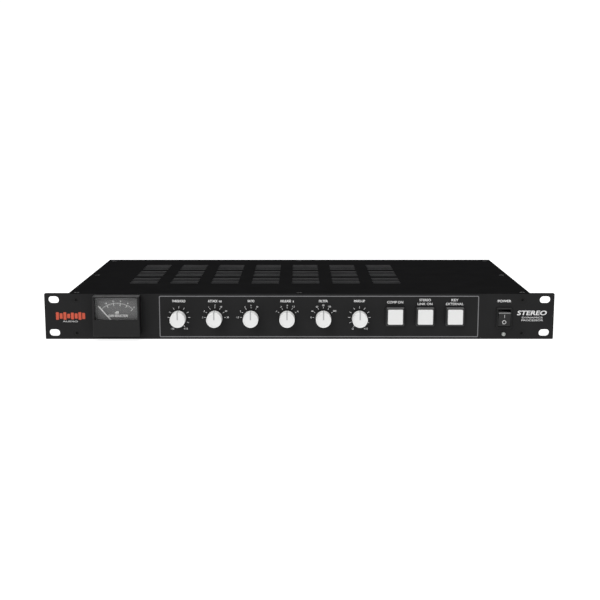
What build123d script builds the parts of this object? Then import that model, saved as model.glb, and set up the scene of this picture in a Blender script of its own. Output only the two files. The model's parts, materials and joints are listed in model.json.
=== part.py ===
from build123d import *
import math
import os

# A one-unit, 19-inch rack compressor. All sizes are in millimetres.
#
# Frame: X points right and Z up as seen from the front, Y points towards the back.
# The origin is the centre of the four rack slots, in the plane of the ears' rear face,
# so the front panel lies between Y = -PANEL_THICKNESS and Y = 0.

# ---------------------------------------------------------------- driving dimensions
PANEL_WIDTH = 482.6
PANEL_HEIGHT = 44.0
PANEL_THICKNESS = 3.0
RACK_SPACING_X = 465.1
RACK_SPACING_Z = 31.75
RACK_SLOT_LENGTH = 10.3
RACK_SLOT_HEIGHT = 6.8
PANEL_SCREW_X = 211.0
PANEL_SCREW_Z = 16.0

CASE_WIDTH = 440.0
CASE_DEPTH = 235.0
CASE_BOTTOM = -21.0
CASE_TOP = 21.0
SHEET = 1.2
FLANGE = 12.0
FRONT_FLANGE_INNER = 203.5

VENT_COLUMNS = 7
VENT_PITCH_X = 40.8
VENT_CENTRE_X = -34.5
VENT_GROUP_STARTS = (66.0, 113.0, 160.0)
VENT_ROWS = 4
VENT_PITCH_Y = 9.6
VENT_LENGTH = 28.0
VENT_WIDTH = 3.6

CONTROL_Z = -1.0
KNOB_FIRST_X = -114.15
KNOB_PITCH = 34.2
KNOB_COUNT = 6
POT_INDEXES = (0, 5)
KNOB_RADIUS = 7.25
KNOB_PROUD = 15.0
KNOB_GAP = 4.2
SHAFT_RADIUS = 3.0
BUSHING_RADIUS = 3.5
RUNNING_CLEARANCE = 0.05
JOINT_LINE = 0.02  # hair gap that keeps touching pieces of one group separate solids

BUTTON_X = (90.6, 118.9, 147.1)
BUTTON_Z = 0.3
BUTTON_SIZE = 14.1
BUTTON_PROUD = 7.0
BEZEL_SIZE = 18.0
BEZEL_PROUD = 5.0

METER_X = -171.85
METER_WIDTH = 43.9
METER_BOTTOM = -17.0
METER_TOP = 21.0
METER_PROUD = 12.0
NEEDLE_PIVOT_Z = -9.0
NEEDLE_LENGTH = 26.5
NEEDLE_REST_ANGLE = 41.0

POWER_X = 194.0
POWER_Z = -1.6
ROCKER_TILT = 9.0
LAMP_Z = -17.0
LAMP_RADIUS = 1.9

INPUT_X = (-185.0, -150.0)
OUTPUT_X = (-95.0, -60.0)
JACK_X = (-16.0, 12.0)
JACK_BORE_RADIUS = 3.25
INLET_X = 178.0

BOARD_THICKNESS = 1.6
TRANSFORMER_X = 150.0
TRANSFORMER_Y = 112.0

# ---------------------------------------------------------------- derived places
PANEL_FRONT = -PANEL_THICKNESS
COVER_BOTTOM = CASE_TOP - SHEET
FLOOR_TOP = CASE_BOTTOM + SHEET
INNER_X = CASE_WIDTH / 2 - SHEET
CHANNEL_INNER = CASE_WIDTH / 2 - FLANGE
REAR_INNER = CASE_DEPTH - SHEET
FRAME_END = REAR_INNER - JOINT_LINE
KNOB_X = [KNOB_FIRST_X + KNOB_PITCH * i for i in range(KNOB_COUNT)]
POT_X = [KNOB_X[i] for i in POT_INDEXES]
SWITCH_X = [x for i, x in enumerate(KNOB_X) if i not in POT_INDEXES]
KNOB_FRONT = PANEL_FRONT - KNOB_PROUD
KNOB_BACK = PANEL_FRONT - KNOB_GAP
CONTROL_BOARD_Y = 16.0
MAIN_BOARD_BOTTOM = FLOOR_TOP + 6.0
MAIN_BOARD_TOP = MAIN_BOARD_BOTTOM + BOARD_THICKNESS
SUPPORT_PLACES = [(x, y) for x in (-196.0, -55.0, 86.0) for y in (68.0, 194.0)]
COVER_SCREW_PLACES = [(side * 213.0, y) for side in (-1, 1) for y in (10.0, 118.0, 225.0)]
COVER_SCREW_PLACES += [(0.0, 7.0), (0.0, 227.5)]
PANEL_SCREW_PLACES = [(sx * PANEL_SCREW_X, sz * PANEL_SCREW_Z) for sx in (-1, 1) for sz in (-1, 1)]
RACK_SLOT_PLACES = [(sx * RACK_SPACING_X / 2, sz * RACK_SPACING_Z / 2) for sx in (-1, 1) for sz in (-1, 1)]
REAR_SCREW_PLACES = [(side * 213.0, z) for side in (-1, 1) for z in (-12.0, 12.0)]
XLR_SCREW_OFFSETS = ((-9.5, 12.0), (9.5, -12.0))
XLR_SCREW_PLACES = [(x + dx, dz) for x in INPUT_X + OUTPUT_X for dx, dz in XLR_SCREW_OFFSETS]
INLET_SCREW_PLACES = [(INLET_X + dx, 0.0) for dx in (-20.0, 20.0)]


# ---------------------------------------------------------------- helpers
def facing_front(y):
    """A sketch plane across the case at depth y: local x is X, local y is Z, normal is -Y."""
    return Plane(origin=(0, y, 0), x_dir=(1, 0, 0), z_dir=(0, -1, 0))


def turned(points):
    """A solid turned about the Y axis from (radius, y) profile points."""
    with BuildPart() as solid:
        with BuildSketch(Plane.XY):
            with BuildLine():
                Polyline(*points, close=True)
            make_face()
        revolve(axis=Axis.Y)
    return solid.part


def upright(points):
    """A solid turned about the Z axis from (radius, z) profile points."""
    with BuildPart() as solid:
        with BuildSketch(Plane.XZ):
            with BuildLine():
                Polyline(*points, close=True)
            make_face()
        revolve(axis=Axis.Z)
    return solid.part


def block(x_range, y_range, z_range):
    """A plain box between two limits along each axis."""
    spans = [b - a for a, b in (x_range, y_range, z_range)]
    middle = [(a + b) / 2 for a, b in (x_range, y_range, z_range)]
    with BuildPart(mode=Mode.PRIVATE) as solid:
        with Locations(tuple(middle)):
            Box(*spans)
    return solid.part


def around(x, half):
    """The limits half to each side of x."""
    return (x - half, x + half)


# ---------------------------------------------------------------- front panel and case
def make_front_panel():
    with BuildPart() as front_panel:
        with BuildSketch(facing_front(0)):
            RectangleRounded(PANEL_WIDTH, PANEL_HEIGHT, 1.0)
        extrude(amount=PANEL_THICKNESS)
        chamfer(front_panel.faces().sort_by(Axis.Y)[0].edges(), 0.4)
        with BuildSketch(facing_front(0)):
            with Locations(*RACK_SLOT_PLACES):
                SlotOverall(RACK_SLOT_LENGTH, RACK_SLOT_HEIGHT)
            with Locations(*[(x, CONTROL_Z) for x in KNOB_X]):
                Circle(BUSHING_RADIUS + 0.2)
            with Locations(*[(x, BUTTON_Z) for x in BUTTON_X]):
                RectangleRounded(BUTTON_NECK + 0.2, BUTTON_NECK + 0.2, 0.8)
            with Locations((METER_X, METER_NECK_Z)):
                Rectangle(METER_NECK_WIDTH + 0.4, METER_NECK_HEIGHT + 0.4)
            with Locations((POWER_X, POWER_Z)):
                Rectangle(POWER_NECK_WIDTH + 0.2, POWER_NECK_HEIGHT + 0.2)
            with Locations((POWER_X, LAMP_Z)):
                Circle(LAMP_RADIUS + 0.1)
        extrude(amount=PANEL_THICKNESS, mode=Mode.SUBTRACT)
        with Locations(facing_front(PANEL_FRONT)):
            with Locations(*PANEL_SCREW_PLACES):
                CounterSinkHole(radius=2.15, counter_sink_radius=4.0, counter_sink_angle=90)
    return front_panel.part


def make_case_frame():
    """Two C-shaped side channels, and the two angle rails that join them under the cover."""
    rail_depth = 3.6
    with BuildPart() as channel:
        add(block((CHANNEL_INNER, CASE_WIDTH / 2), (0, FRAME_END), (CASE_BOTTOM, COVER_BOTTOM)))
        outer_edges = channel.edges().filter_by(Axis.Y).group_by(Axis.X)[-1]
        fillet(outer_edges.sort_by(Axis.Z)[0], 1.5)
        add(block((FRONT_FLANGE_INNER, CHANNEL_INNER), (0, SHEET), (CASE_BOTTOM, COVER_BOTTOM)))
        hollow_y = (SHEET, FRAME_END - SHEET)
        hollow_z = (FLOOR_TOP, COVER_BOTTOM - SHEET)
        add(block((CHANNEL_INNER - 1, INNER_X), hollow_y, hollow_z), mode=Mode.SUBTRACT)
    with BuildPart() as case_frame:
        add(channel.part)
        mirror(about=Plane.YZ)
        for end_x, leg_y, web_y in (
            (FRONT_FLANGE_INNER, (0, FLANGE), (0, SHEET)),
            (CHANNEL_INNER, (FRAME_END - FLANGE, FRAME_END), (FRAME_END - SHEET, FRAME_END)),
        ):
            rail_x = around(0, end_x - JOINT_LINE)
            add(block(rail_x, leg_y, (COVER_BOTTOM - SHEET, COVER_BOTTOM)))
            add(block(rail_x, web_y, (COVER_BOTTOM - rail_depth, COVER_BOTTOM)))
        with BuildSketch(facing_front(0)):
            with Locations(*PANEL_SCREW_PLACES):
                Circle(2.1)
        extrude(amount=-SHEET, mode=Mode.SUBTRACT)
        with BuildSketch(Plane.XY.offset(COVER_BOTTOM)):
            with Locations(*COVER_SCREW_PLACES):
                Circle(1.6)
        extrude(amount=-SHEET, mode=Mode.SUBTRACT)
        with BuildSketch(facing_front(FRAME_END - SHEET)):
            with Locations(*REAR_SCREW_PLACES):
                Circle(1.6)
        extrude(amount=-SHEET, mode=Mode.SUBTRACT)
    return case_frame.part


def make_case_floor():
    """The flat sheet between the channels, notched for their front flanges."""
    edge = CHANNEL_INNER - JOINT_LINE
    notch_edge = FRONT_FLANGE_INNER - JOINT_LINE
    notch_end = SHEET + JOINT_LINE
    with BuildPart() as case_floor:
        add(block(around(0, edge), (notch_end, FRAME_END), (CASE_BOTTOM, FLOOR_TOP)))
        add(block(around(0, notch_edge), (0, notch_end), (CASE_BOTTOM, FLOOR_TOP)))
    return case_floor.part


def make_rear_panel():
    rear_face = Plane(origin=(0, CASE_DEPTH, 0), x_dir=(1, 0, 0), z_dir=(0, 1, 0))
    with BuildPart() as rear_panel:
        add(block(around(0, CASE_WIDTH / 2), (REAR_INNER, CASE_DEPTH), (CASE_BOTTOM, COVER_BOTTOM)))
        with BuildSketch(facing_front(REAR_INNER)):
            cut_rear_openings()
        extrude(amount=-SHEET, mode=Mode.SUBTRACT)
        with Locations(rear_face):
            with Locations(*REAR_SCREW_PLACES):
                CounterSinkHole(radius=1.6, counter_sink_radius=2.7, counter_sink_angle=90)
    return rear_panel.part


def cut_rear_openings():
    """The outlines of every connector opening in the rear panel, drawn in the current sketch."""
    with Locations(*[(x, 0) for x in INPUT_X + OUTPUT_X]):
        Circle(XLR_BARREL_RADIUS + 0.2)
    with Locations(*[(x, 7.6) for x in INPUT_X]):
        Rectangle(12.4, 15.2)
    with Locations(*[(x, 0) for x in JACK_X]):
        Circle(JACK_NOSE_RADIUS + 0.15)
    with Locations((INLET_X, 0)):
        Rectangle(INLET_BODY_WIDTH + 0.4, INLET_BODY_HEIGHT + 0.4)
    with Locations(*XLR_SCREW_PLACES, *INLET_SCREW_PLACES):
        Circle(1.6)


def make_top_cover():
    first_column = VENT_CENTRE_X - VENT_PITCH_X * (VENT_COLUMNS - 1) / 2
    vents = [
        (first_column + VENT_PITCH_X * column, start + VENT_PITCH_Y * row)
        for start in VENT_GROUP_STARTS
        for row in range(VENT_ROWS)
        for column in range(VENT_COLUMNS)
    ]
    with BuildPart() as top_cover:
        with BuildSketch(Plane.XY.offset(COVER_BOTTOM)):
            with Locations((0, CASE_DEPTH / 2)):
                Rectangle(CASE_WIDTH, CASE_DEPTH)
        extrude(amount=SHEET)
        chamfer(top_cover.faces().sort_by(Axis.Z)[-1].edges(), 0.3)
        with BuildSketch(Plane.XY.offset(COVER_BOTTOM)):
            with Locations(*vents):
                SlotOverall(VENT_LENGTH, VENT_WIDTH)
        extrude(amount=SHEET, mode=Mode.SUBTRACT)
        with Locations(Plane.XY.offset(CASE_TOP)):
            with Locations(*COVER_SCREW_PLACES):
                CounterSinkHole(radius=1.6, counter_sink_radius=2.7, counter_sink_angle=90)
    return top_cover.part


def countersunk_screw(shank_radius, head_radius, length):
    """A countersunk screw with a hexagon socket; its head's face is at y = 0, its tip at +length."""
    taper = head_radius - shank_radius
    screw = turned([
        (0, 0.1),
        (head_radius - 0.1, 0.1),
        (shank_radius, taper),
        (shank_radius, length),
        (0, length),
    ])
    with BuildPart() as socketed:
        add(screw)
        with BuildSketch(facing_front(0)):
            RegularPolygon(shank_radius * 0.72, 6)
        extrude(amount=-taper * 0.8, mode=Mode.SUBTRACT)
    return socketed.part


def make_case_screws():
    """The countersunk screws of the front panel, the cover and the rear panel."""
    panel_screw = countersunk_screw(2.0, 4.0, 9.0)
    sheet_screw = countersunk_screw(1.5, 2.7, 5.0)
    with BuildPart() as case_screws:
        with Locations(*[(x, PANEL_FRONT, z) for x, z in PANEL_SCREW_PLACES]):
            add(panel_screw)
        with Locations(*[Location((x, y, CASE_TOP), (-90, 0, 0)) for x, y in COVER_SCREW_PLACES]):
            add(sheet_screw)
        with Locations(*[Location((x, CASE_DEPTH, z), (180, 0, 0)) for x, z in REAR_SCREW_PLACES]):
            add(sheet_screw)
    return case_screws.part


# ---------------------------------------------------------------- knobs, shafts and their controls
CAVITY_RADIUS = 6.2
CAVITY_START = 2.2
CAVITY_END = 4.6
BUSHING_END = PANEL_FRONT - 3.4
SHAFT_FRONT = KNOB_FRONT + 2.0


def control_unit(body_radius, body_depth, pin_radius, pin_angles):
    """A bushed control with a hollow for its rotor and pins that reach the control board."""
    bore = SHAFT_RADIUS + RUNNING_CLEARANCE
    shell = turned([
        (bore, BUSHING_END),
        (BUSHING_RADIUS, BUSHING_END),
        (BUSHING_RADIUS, 0),
        (body_radius, 0),
        (body_radius, body_depth),
        (0, body_depth),
        (0, CAVITY_END),
        (CAVITY_RADIUS, CAVITY_END),
        (CAVITY_RADIUS, CAVITY_START),
        (bore, CAVITY_START),
    ])
    with BuildPart() as unit:
        add(shell)
        with BuildSketch(facing_front(body_depth)):
            for angle in pin_angles:
                with PolarLocations(pin_radius, 1, start_angle=angle):
                    Rectangle(0.8, 0.8)
        extrude(amount=body_depth - CONTROL_BOARD_Y)
    return unit.part


def make_potentiometers():
    unit = control_unit(8.5, 9.0, 5.0, (240, 270, 300))
    with BuildPart() as potentiometers:
        with Locations(*[(x, 0, CONTROL_Z) for x in POT_X]):
            add(unit)
    return potentiometers.part


def make_rotary_switches():
    unit = control_unit(12.8, 13.5, 9.0, range(0, 360, 45))
    with BuildPart() as rotary_switches:
        with Locations(*[(x, 0, CONTROL_Z) for x in SWITCH_X]):
            add(unit)
    return rotary_switches.part


def make_control_nuts():
    washer_front = PANEL_FRONT - 0.6
    nut_bore = BUSHING_RADIUS + 0.05
    washer = turned([
        (nut_bore, PANEL_FRONT),
        (6.0, PANEL_FRONT),
        (6.0, washer_front),
        (nut_bore, washer_front),
    ])
    with BuildPart() as nut:
        with BuildSketch(facing_front(washer_front - JOINT_LINE)):
            RegularPolygon(5.0, 6, major_radius=False)
            Circle(nut_bore, mode=Mode.SUBTRACT)
        extrude(amount=2.2)
        chamfer(nut.faces().sort_by(Axis.Y)[0].outer_wire().edges(), 0.3)
    with BuildPart() as control_nuts:
        with Locations(*[(x, 0, CONTROL_Z) for x in KNOB_X]):
            add(washer)
            add(nut.part)
    return control_nuts.part


def make_shaft(x):
    rotor_front = CAVITY_START + 0.3
    rotor_back = CAVITY_END - 0.4
    with BuildPart() as shaft:
        with Locations((x, 0, CONTROL_Z)):
            add(turned([
                (0, SHAFT_FRONT),
                (SHAFT_RADIUS, SHAFT_FRONT),
                (SHAFT_RADIUS, rotor_front),
                (CAVITY_RADIUS - 0.7, rotor_front),
                (CAVITY_RADIUS - 0.7, rotor_back),
                (0, rotor_back),
            ]))
    return shaft.part


def make_knob(x):
    """A plain cylindrical knob with a shallow dish in its face and a pointer groove."""
    rim = 0.9
    dish = 0.45
    groove_width = 1.2
    groove_depth = 0.25
    body = turned([
        (SHAFT_RADIUS, KNOB_BACK),
        (KNOB_RADIUS, KNOB_BACK),
        (KNOB_RADIUS - 0.1, KNOB_FRONT),
        (KNOB_RADIUS - rim, KNOB_FRONT),
        (KNOB_RADIUS - rim - dish, KNOB_FRONT + dish),
        (0, KNOB_FRONT + dish),
        (0, SHAFT_FRONT),
        (SHAFT_RADIUS, SHAFT_FRONT),
    ])
    with BuildPart() as blank:
        add(body)
        front_circles = blank.edges().filter_by(GeomType.CIRCLE).group_by(Axis.Y)[0]
        fillet(front_circles.sort_by(SortBy.RADIUS)[-1], 0.35)
        back_circles = blank.edges().filter_by(GeomType.CIRCLE).group_by(Axis.Y)[-1]
        fillet(back_circles.sort_by(SortBy.RADIUS)[-1], 0.3)
        half = groove_width / 2
        face_floor = KNOB_FRONT + dish + groove_depth
        side_floor = KNOB_RADIUS - groove_depth
        add(block((-half, half), (KNOB_FRONT - 1, face_floor), (0, KNOB_RADIUS + 1)), mode=Mode.SUBTRACT)
        add(
            block((-half, half), (KNOB_FRONT - 1, KNOB_BACK - 0.8), (side_floor, KNOB_RADIUS + 1)),
            mode=Mode.SUBTRACT,
        )
    with BuildPart() as knob:
        with Locations((x, 0, CONTROL_Z)):
            add(blank.part)
    return knob.part


def make_control_board():
    with BuildPart() as control_board:
        add(block((-132, 160), (CONTROL_BOARD_Y, CONTROL_BOARD_Y + BOARD_THICKNESS), (-17.4, 16.4)))
    return control_board.part


# ---------------------------------------------------------------- push buttons
BUTTON_NECK = 16.2
BUTTON_OPENING = 14.5
SWITCH_FRONT = 2.5
BUTTON_FACE = PANEL_FRONT - BUTTON_PROUD
BUTTON_BACK = -2.0
BUTTON_WALL = 1.3
PLUNGER_HALF = 2.0
SPRING_SEAT = BUTTON_FACE + BUTTON_WALL + 1.0


def make_button_bezels():
    with BuildPart() as bezel:
        with BuildSketch(facing_front(PANEL_FRONT)):
            RectangleRounded(BEZEL_SIZE, BEZEL_SIZE, 1.6)
        extrude(amount=BEZEL_PROUD)
        chamfer(bezel.faces().sort_by(Axis.Y)[0].edges(), 1.1)
        with BuildSketch(facing_front(PANEL_FRONT)):
            RectangleRounded(BUTTON_NECK, BUTTON_NECK, 0.8)
        extrude(amount=PANEL_FRONT - SWITCH_FRONT)
        with BuildSketch(facing_front(SWITCH_FRONT)):
            RectangleRounded(BUTTON_OPENING, BUTTON_OPENING, 1.2)
        extrude(amount=20, mode=Mode.SUBTRACT)
    with BuildPart() as button_bezels:
        with Locations(*[(x, 0, BUTTON_Z) for x in BUTTON_X]):
            add(bezel.part)
    return button_bezels.part


def make_button_switches():
    body_half = 7.8
    body_back = 13.5
    bore = PLUNGER_HALF + 0.2
    with BuildPart() as body:
        add(block(around(0, body_half), (SWITCH_FRONT, body_back), around(0, body_half)))
        add(block(around(0, bore), (SWITCH_FRONT - 1, body_back - 1), around(0, bore)), mode=Mode.SUBTRACT)
        with BuildSketch(facing_front(body_back)):
            with GridLocations(5.0, 10.0, 3, 2):
                Rectangle(0.8, 0.8)
        extrude(amount=body_back - CONTROL_BOARD_Y)
    with BuildPart() as button_switches:
        with Locations(*[(x, 0, BUTTON_Z) for x in BUTTON_X]):
            add(body.part)
    return button_switches.part


def make_button_cap(x):
    inner = BUTTON_SIZE - 2 * BUTTON_WALL
    with BuildPart() as cap:
        with BuildSketch(facing_front(BUTTON_BACK)):
            RectangleRounded(BUTTON_SIZE, BUTTON_SIZE, 0.9)
        extrude(amount=BUTTON_BACK - BUTTON_FACE)
        fillet(cap.faces().sort_by(Axis.Y)[0].edges(), 0.45)
        with BuildSketch(facing_front(BUTTON_BACK)):
            Rectangle(inner, inner)
        extrude(amount=BUTTON_BACK - BUTTON_FACE - BUTTON_WALL, mode=Mode.SUBTRACT)
    with BuildPart() as button_cap:
        with Locations((x, 0, BUTTON_Z)):
            add(cap.part)
    return button_cap.part


def make_button_plunger(x):
    plunger_end = 6.0
    seat_radius = 4.9
    with BuildPart() as button_plunger:
        with BuildSketch(facing_front(SPRING_SEAT)):
            with Locations((x, BUTTON_Z)):
                Circle(seat_radius)
        extrude(amount=1.0)
        with BuildSketch(facing_front(SPRING_SEAT)):
            with Locations((x, BUTTON_Z)):
                Rectangle(2 * PLUNGER_HALF, 2 * PLUNGER_HALF)
        extrude(amount=SPRING_SEAT - plunger_end)
    return button_plunger.part


def make_button_spring(x):
    wire_radius = 0.28
    coil_radius = 3.9
    end_gap = wire_radius + 0.06
    start = SPRING_SEAT + end_gap
    height = SWITCH_FRONT - end_gap - start
    with BuildPart() as button_spring:
        with BuildLine() as coil:
            Helix(
                pitch=height / 5,
                height=height,
                radius=coil_radius,
                center=(x, start, BUTTON_Z),
                direction=(0, 1, 0),
            )
        with BuildSketch(Plane(origin=coil.line @ 0, z_dir=coil.line % 0)):
            RegularPolygon(wire_radius, 8)
        sweep(is_frenet=True)
    return button_spring.part


# ---------------------------------------------------------------- power switch and lamp
POWER_NECK_WIDTH = 13.0
POWER_NECK_HEIGHT = 18.2
ROCKER_OPENING_WIDTH = 11.8
ROCKER_OPENING_HEIGHT = 17.0
ROCKER_PIVOT_Y = 2.5
ROCKER_PIN_RADIUS = 1.0


def make_power_switch_housing():
    body_back = 18.0
    blade_length = 8.0
    x, z = POWER_X, POWER_Z
    with BuildPart() as power_switch_housing:
        with BuildSketch(facing_front(PANEL_FRONT)):
            with Locations((x, z)):
                RectangleRounded(15.0, 20.0, 1.0)
        extrude(amount=2.0)
        chamfer(power_switch_housing.faces().sort_by(Axis.Y)[0].edges(), 0.6)
        with BuildSketch(facing_front(PANEL_FRONT)):
            with Locations((x, z)):
                Rectangle(POWER_NECK_WIDTH, POWER_NECK_HEIGHT)
        extrude(amount=PANEL_FRONT - body_back)
        opening = (around(x, ROCKER_OPENING_WIDTH / 2), (-10, 8), around(z, ROCKER_OPENING_HEIGHT / 2))
        add(block(*opening), mode=Mode.SUBTRACT)
        with BuildSketch(Plane.YZ.offset(x - 10)):
            with Locations((ROCKER_PIVOT_Y, z)):
                Circle(ROCKER_PIN_RADIUS + RUNNING_CLEARANCE)
        extrude(amount=20, mode=Mode.SUBTRACT)
        with BuildSketch(facing_front(body_back)):
            with Locations((x, z - 6), (x, z), (x, z + 6)):
                Rectangle(4.8, 0.8)
        extrude(amount=-blade_length)
    return power_switch_housing.part


def make_power_rocker():
    """The paddle, drawn in its own tilted plane so that its lower half lies flat at rest."""
    depth = 7.6
    half_length = 6.9
    end_depth = depth + half_length * math.tan(math.radians(ROCKER_TILT))
    half_width = ROCKER_OPENING_WIDTH / 2 - 0.3
    pin_end = half_width + 0.55
    bevel_depth = 1.2
    bevel_drop = 0.5
    end_z = half_length + 0.1 * bevel_depth
    tip_depth = end_depth - bevel_drop * math.tan(math.radians(ROCKER_TILT))
    tilt = math.radians(ROCKER_TILT)
    back_direction = (0, math.cos(tilt), math.sin(tilt))
    side = Plane(origin=(POWER_X, ROCKER_PIVOT_Y, POWER_Z), x_dir=back_direction, z_dir=(1, 0, 0))
    with BuildPart() as power_rocker:
        with BuildSketch(side.offset(-half_width)):
            with BuildLine():
                Polyline(
                    (-depth, 0),
                    (-tip_depth, half_length - bevel_drop),
                    (-end_depth + bevel_depth, end_z),
                    (-1.0, 7.8),
                    (2.0, 6.0),
                    (2.0, -6.0),
                    (-1.0, -7.8),
                    (-end_depth + bevel_depth, -end_z),
                    (-tip_depth, -half_length + bevel_drop),
                    close=True,
                )
            make_face()
        extrude(amount=2 * half_width)
        with BuildSketch(side.offset(-pin_end)):
            Circle(ROCKER_PIN_RADIUS)
        extrude(amount=2 * pin_end)
    return power_rocker.part


def make_power_led():
    lens_front = PANEL_FRONT - 1.0
    dome_middle = (LAMP_RADIUS * math.sin(math.pi / 4), lens_front - LAMP_RADIUS * math.cos(math.pi / 4))
    with BuildPart() as lamp:
        with BuildSketch(Plane.XY):
            with BuildLine():
                Polyline(
                    (LAMP_RADIUS, lens_front),
                    (LAMP_RADIUS, 0),
                    (LAMP_RADIUS + 0.6, 0),
                    (LAMP_RADIUS + 0.6, 1.0),
                    (LAMP_RADIUS, 1.0),
                    (LAMP_RADIUS, 2.5),
                    (0, 2.5),
                    (0, lens_front - LAMP_RADIUS),
                )
                ThreePointArc((0, lens_front - LAMP_RADIUS), dome_middle, (LAMP_RADIUS, lens_front))
            make_face()
        revolve(axis=Axis.Y)
        with BuildSketch(facing_front(2.5)):
            with Locations((-0.9, 0), (0.9, 0)):
                Rectangle(0.5, 0.5)
        extrude(amount=-9.5)
    with BuildPart() as power_led:
        with Locations((POWER_X, 0, LAMP_Z)):
            add(lamp.part)
    return power_led.part


# ---------------------------------------------------------------- meter
METER_FRONT = PANEL_FRONT - METER_PROUD
METER_WALL = 1.4
METER_LIP = 1.3
METER_NECK_WIDTH = 37.0
METER_NECK_HEIGHT = 29.5
METER_NECK_Z = 0.75
METER_NECK_BACK = 18.0
WINDOW_WIDTH = 40.4
WINDOW_BOTTOM = -1.2
WINDOW_TOP = METER_TOP - METER_LIP
DIAL_FRONT = -7.5
DIAL_THICKNESS = 1.0


def make_meter_housing():
    half = METER_WIDTH / 2
    neck_half = METER_NECK_WIDTH / 2
    neck_z = around(METER_NECK_Z, METER_NECK_HEIGHT / 2)
    room_z = (METER_BOTTOM + METER_WALL, METER_TOP - 0.8)
    room_x = around(METER_X, half - METER_WALL)
    with BuildPart() as meter_housing:
        add(block(around(METER_X, half), (METER_FRONT, PANEL_FRONT), (METER_BOTTOM, METER_TOP)))
        fillet(meter_housing.edges().filter_by(Axis.Y), 0.7)
        front_edges = meter_housing.faces().sort_by(Axis.Y)[0].edges()
        chamfer(front_edges, 0.5)
        add(block(around(METER_X, neck_half), (PANEL_FRONT, METER_NECK_BACK), neck_z))
        add(block(room_x, (METER_FRONT + METER_WALL, PANEL_FRONT - 1.2), room_z), mode=Mode.SUBTRACT)
        room_in_neck = (
            around(METER_X, neck_half - 1.2),
            (METER_FRONT + METER_WALL, METER_NECK_BACK - 1.2),
            (neck_z[0] + 1.2, neck_z[1] - 1.2),
        )
        add(block(*room_in_neck), mode=Mode.SUBTRACT)
        window_depth = (METER_FRONT - 1, METER_FRONT + 2)
        add(
            block(around(METER_X, WINDOW_WIDTH / 2), window_depth, (WINDOW_BOTTOM, WINDOW_TOP)),
            mode=Mode.SUBTRACT,
        )
    return meter_housing.part


def make_meter_window():
    with BuildPart() as meter_window:
        add(block(
            around(METER_X, WINDOW_WIDTH / 2),
            (METER_FRONT + 0.1, METER_FRONT + METER_WALL),
            (WINDOW_BOTTOM, WINDOW_TOP),
        ))
    return meter_window.part


def make_meter_dial():
    with BuildPart() as meter_dial:
        add(block(
            around(METER_X, METER_WIDTH / 2 - METER_WALL - 0.3),
            (DIAL_FRONT, DIAL_FRONT + DIAL_THICKNESS),
            (METER_BOTTOM + METER_WALL + 0.3, METER_TOP - 1.2),
        ))
        with BuildSketch(facing_front(DIAL_FRONT)):
            with Locations((METER_X, NEEDLE_PIVOT_Z)):
                Circle(1.5)
        extrude(amount=-DIAL_THICKNESS, mode=Mode.SUBTRACT)
    return meter_dial.part


def make_meter_movement():
    dial_back = DIAL_FRONT + DIAL_THICKNESS
    with BuildPart() as meter_movement:
        add(block(around(METER_X, 13), (dial_back, 12), (-12.8, 10)))
        fillet(meter_movement.edges().filter_by(Axis.Y), 2.0)
        with BuildSketch(facing_front(dial_back)):
            with Locations((METER_X, NEEDLE_PIVOT_Z)):
                Circle(0.5)
        extrude(amount=dial_back + 10.8)
    return meter_movement.part


def make_meter_needle():
    """A tapered pointer with its hub and tail, at the angle where it rests."""
    hub_front = -10.4
    hub_back = -8.3
    rest = math.radians(NEEDLE_REST_ANGLE)
    along = (math.cos(rest), 0, math.sin(rest))
    blade_plane = Plane(origin=(METER_X, hub_back - 0.5, NEEDLE_PIVOT_Z), x_dir=along, z_dir=(0, -1, 0))
    with BuildPart() as meter_needle:
        with BuildSketch(facing_front(hub_back)):
            with Locations((METER_X, NEEDLE_PIVOT_Z)):
                Circle(2.2)
        extrude(amount=hub_back - hub_front)
        with BuildSketch(blade_plane):
            with BuildLine():
                Polyline(
                    (-0.4, NEEDLE_LENGTH),
                    (0.4, NEEDLE_LENGTH),
                    (0.6, 0),
                    (0.9, -4.6),
                    (-0.9, -4.6),
                    (-0.6, 0),
                    close=True,
                )
            make_face()
        extrude(amount=0.5)
        with BuildSketch(facing_front(0)):
            with Locations((METER_X, NEEDLE_PIVOT_Z)):
                Circle(0.5 + RUNNING_CLEARANCE)
        extrude(amount=20, mode=Mode.SUBTRACT)
    return meter_needle.part


# ---------------------------------------------------------------- rear connectors
XLR_BARREL_RADIUS = 11.8
XLR_FLANGE_BACK = CASE_DEPTH + 2.0
XLR_DEPTH_START = 210.0
XLR_CONTACTS = [(3.9 * math.cos(math.radians(a)), 3.9 * math.sin(math.radians(a))) for a in (35, 145, 270)]
SOCKET_MOUTH_RADIUS = 9.6
LATCH_Z = 12.2
JACK_NOSE_RADIUS = 4.75
INLET_BODY_WIDTH = 28.0
INLET_BODY_HEIGHT = 28.6
INLET_FLANGE_BACK = CASE_DEPTH + 2.5
INLET_FLOOR = 220.0
BLADE_PLACES = ((-7.0, 2.5), (7.0, 2.5), (0.0, 7.5))
DRAWER_Z = -9.2


def draw_xlr_flange():
    """The outline of a panel-mount connector's plate with its two fixing holes."""
    RectangleRounded(26.0, 31.0, 3.0)
    with Locations(*XLR_SCREW_OFFSETS):
        Circle(1.6, mode=Mode.SUBTRACT)


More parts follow.
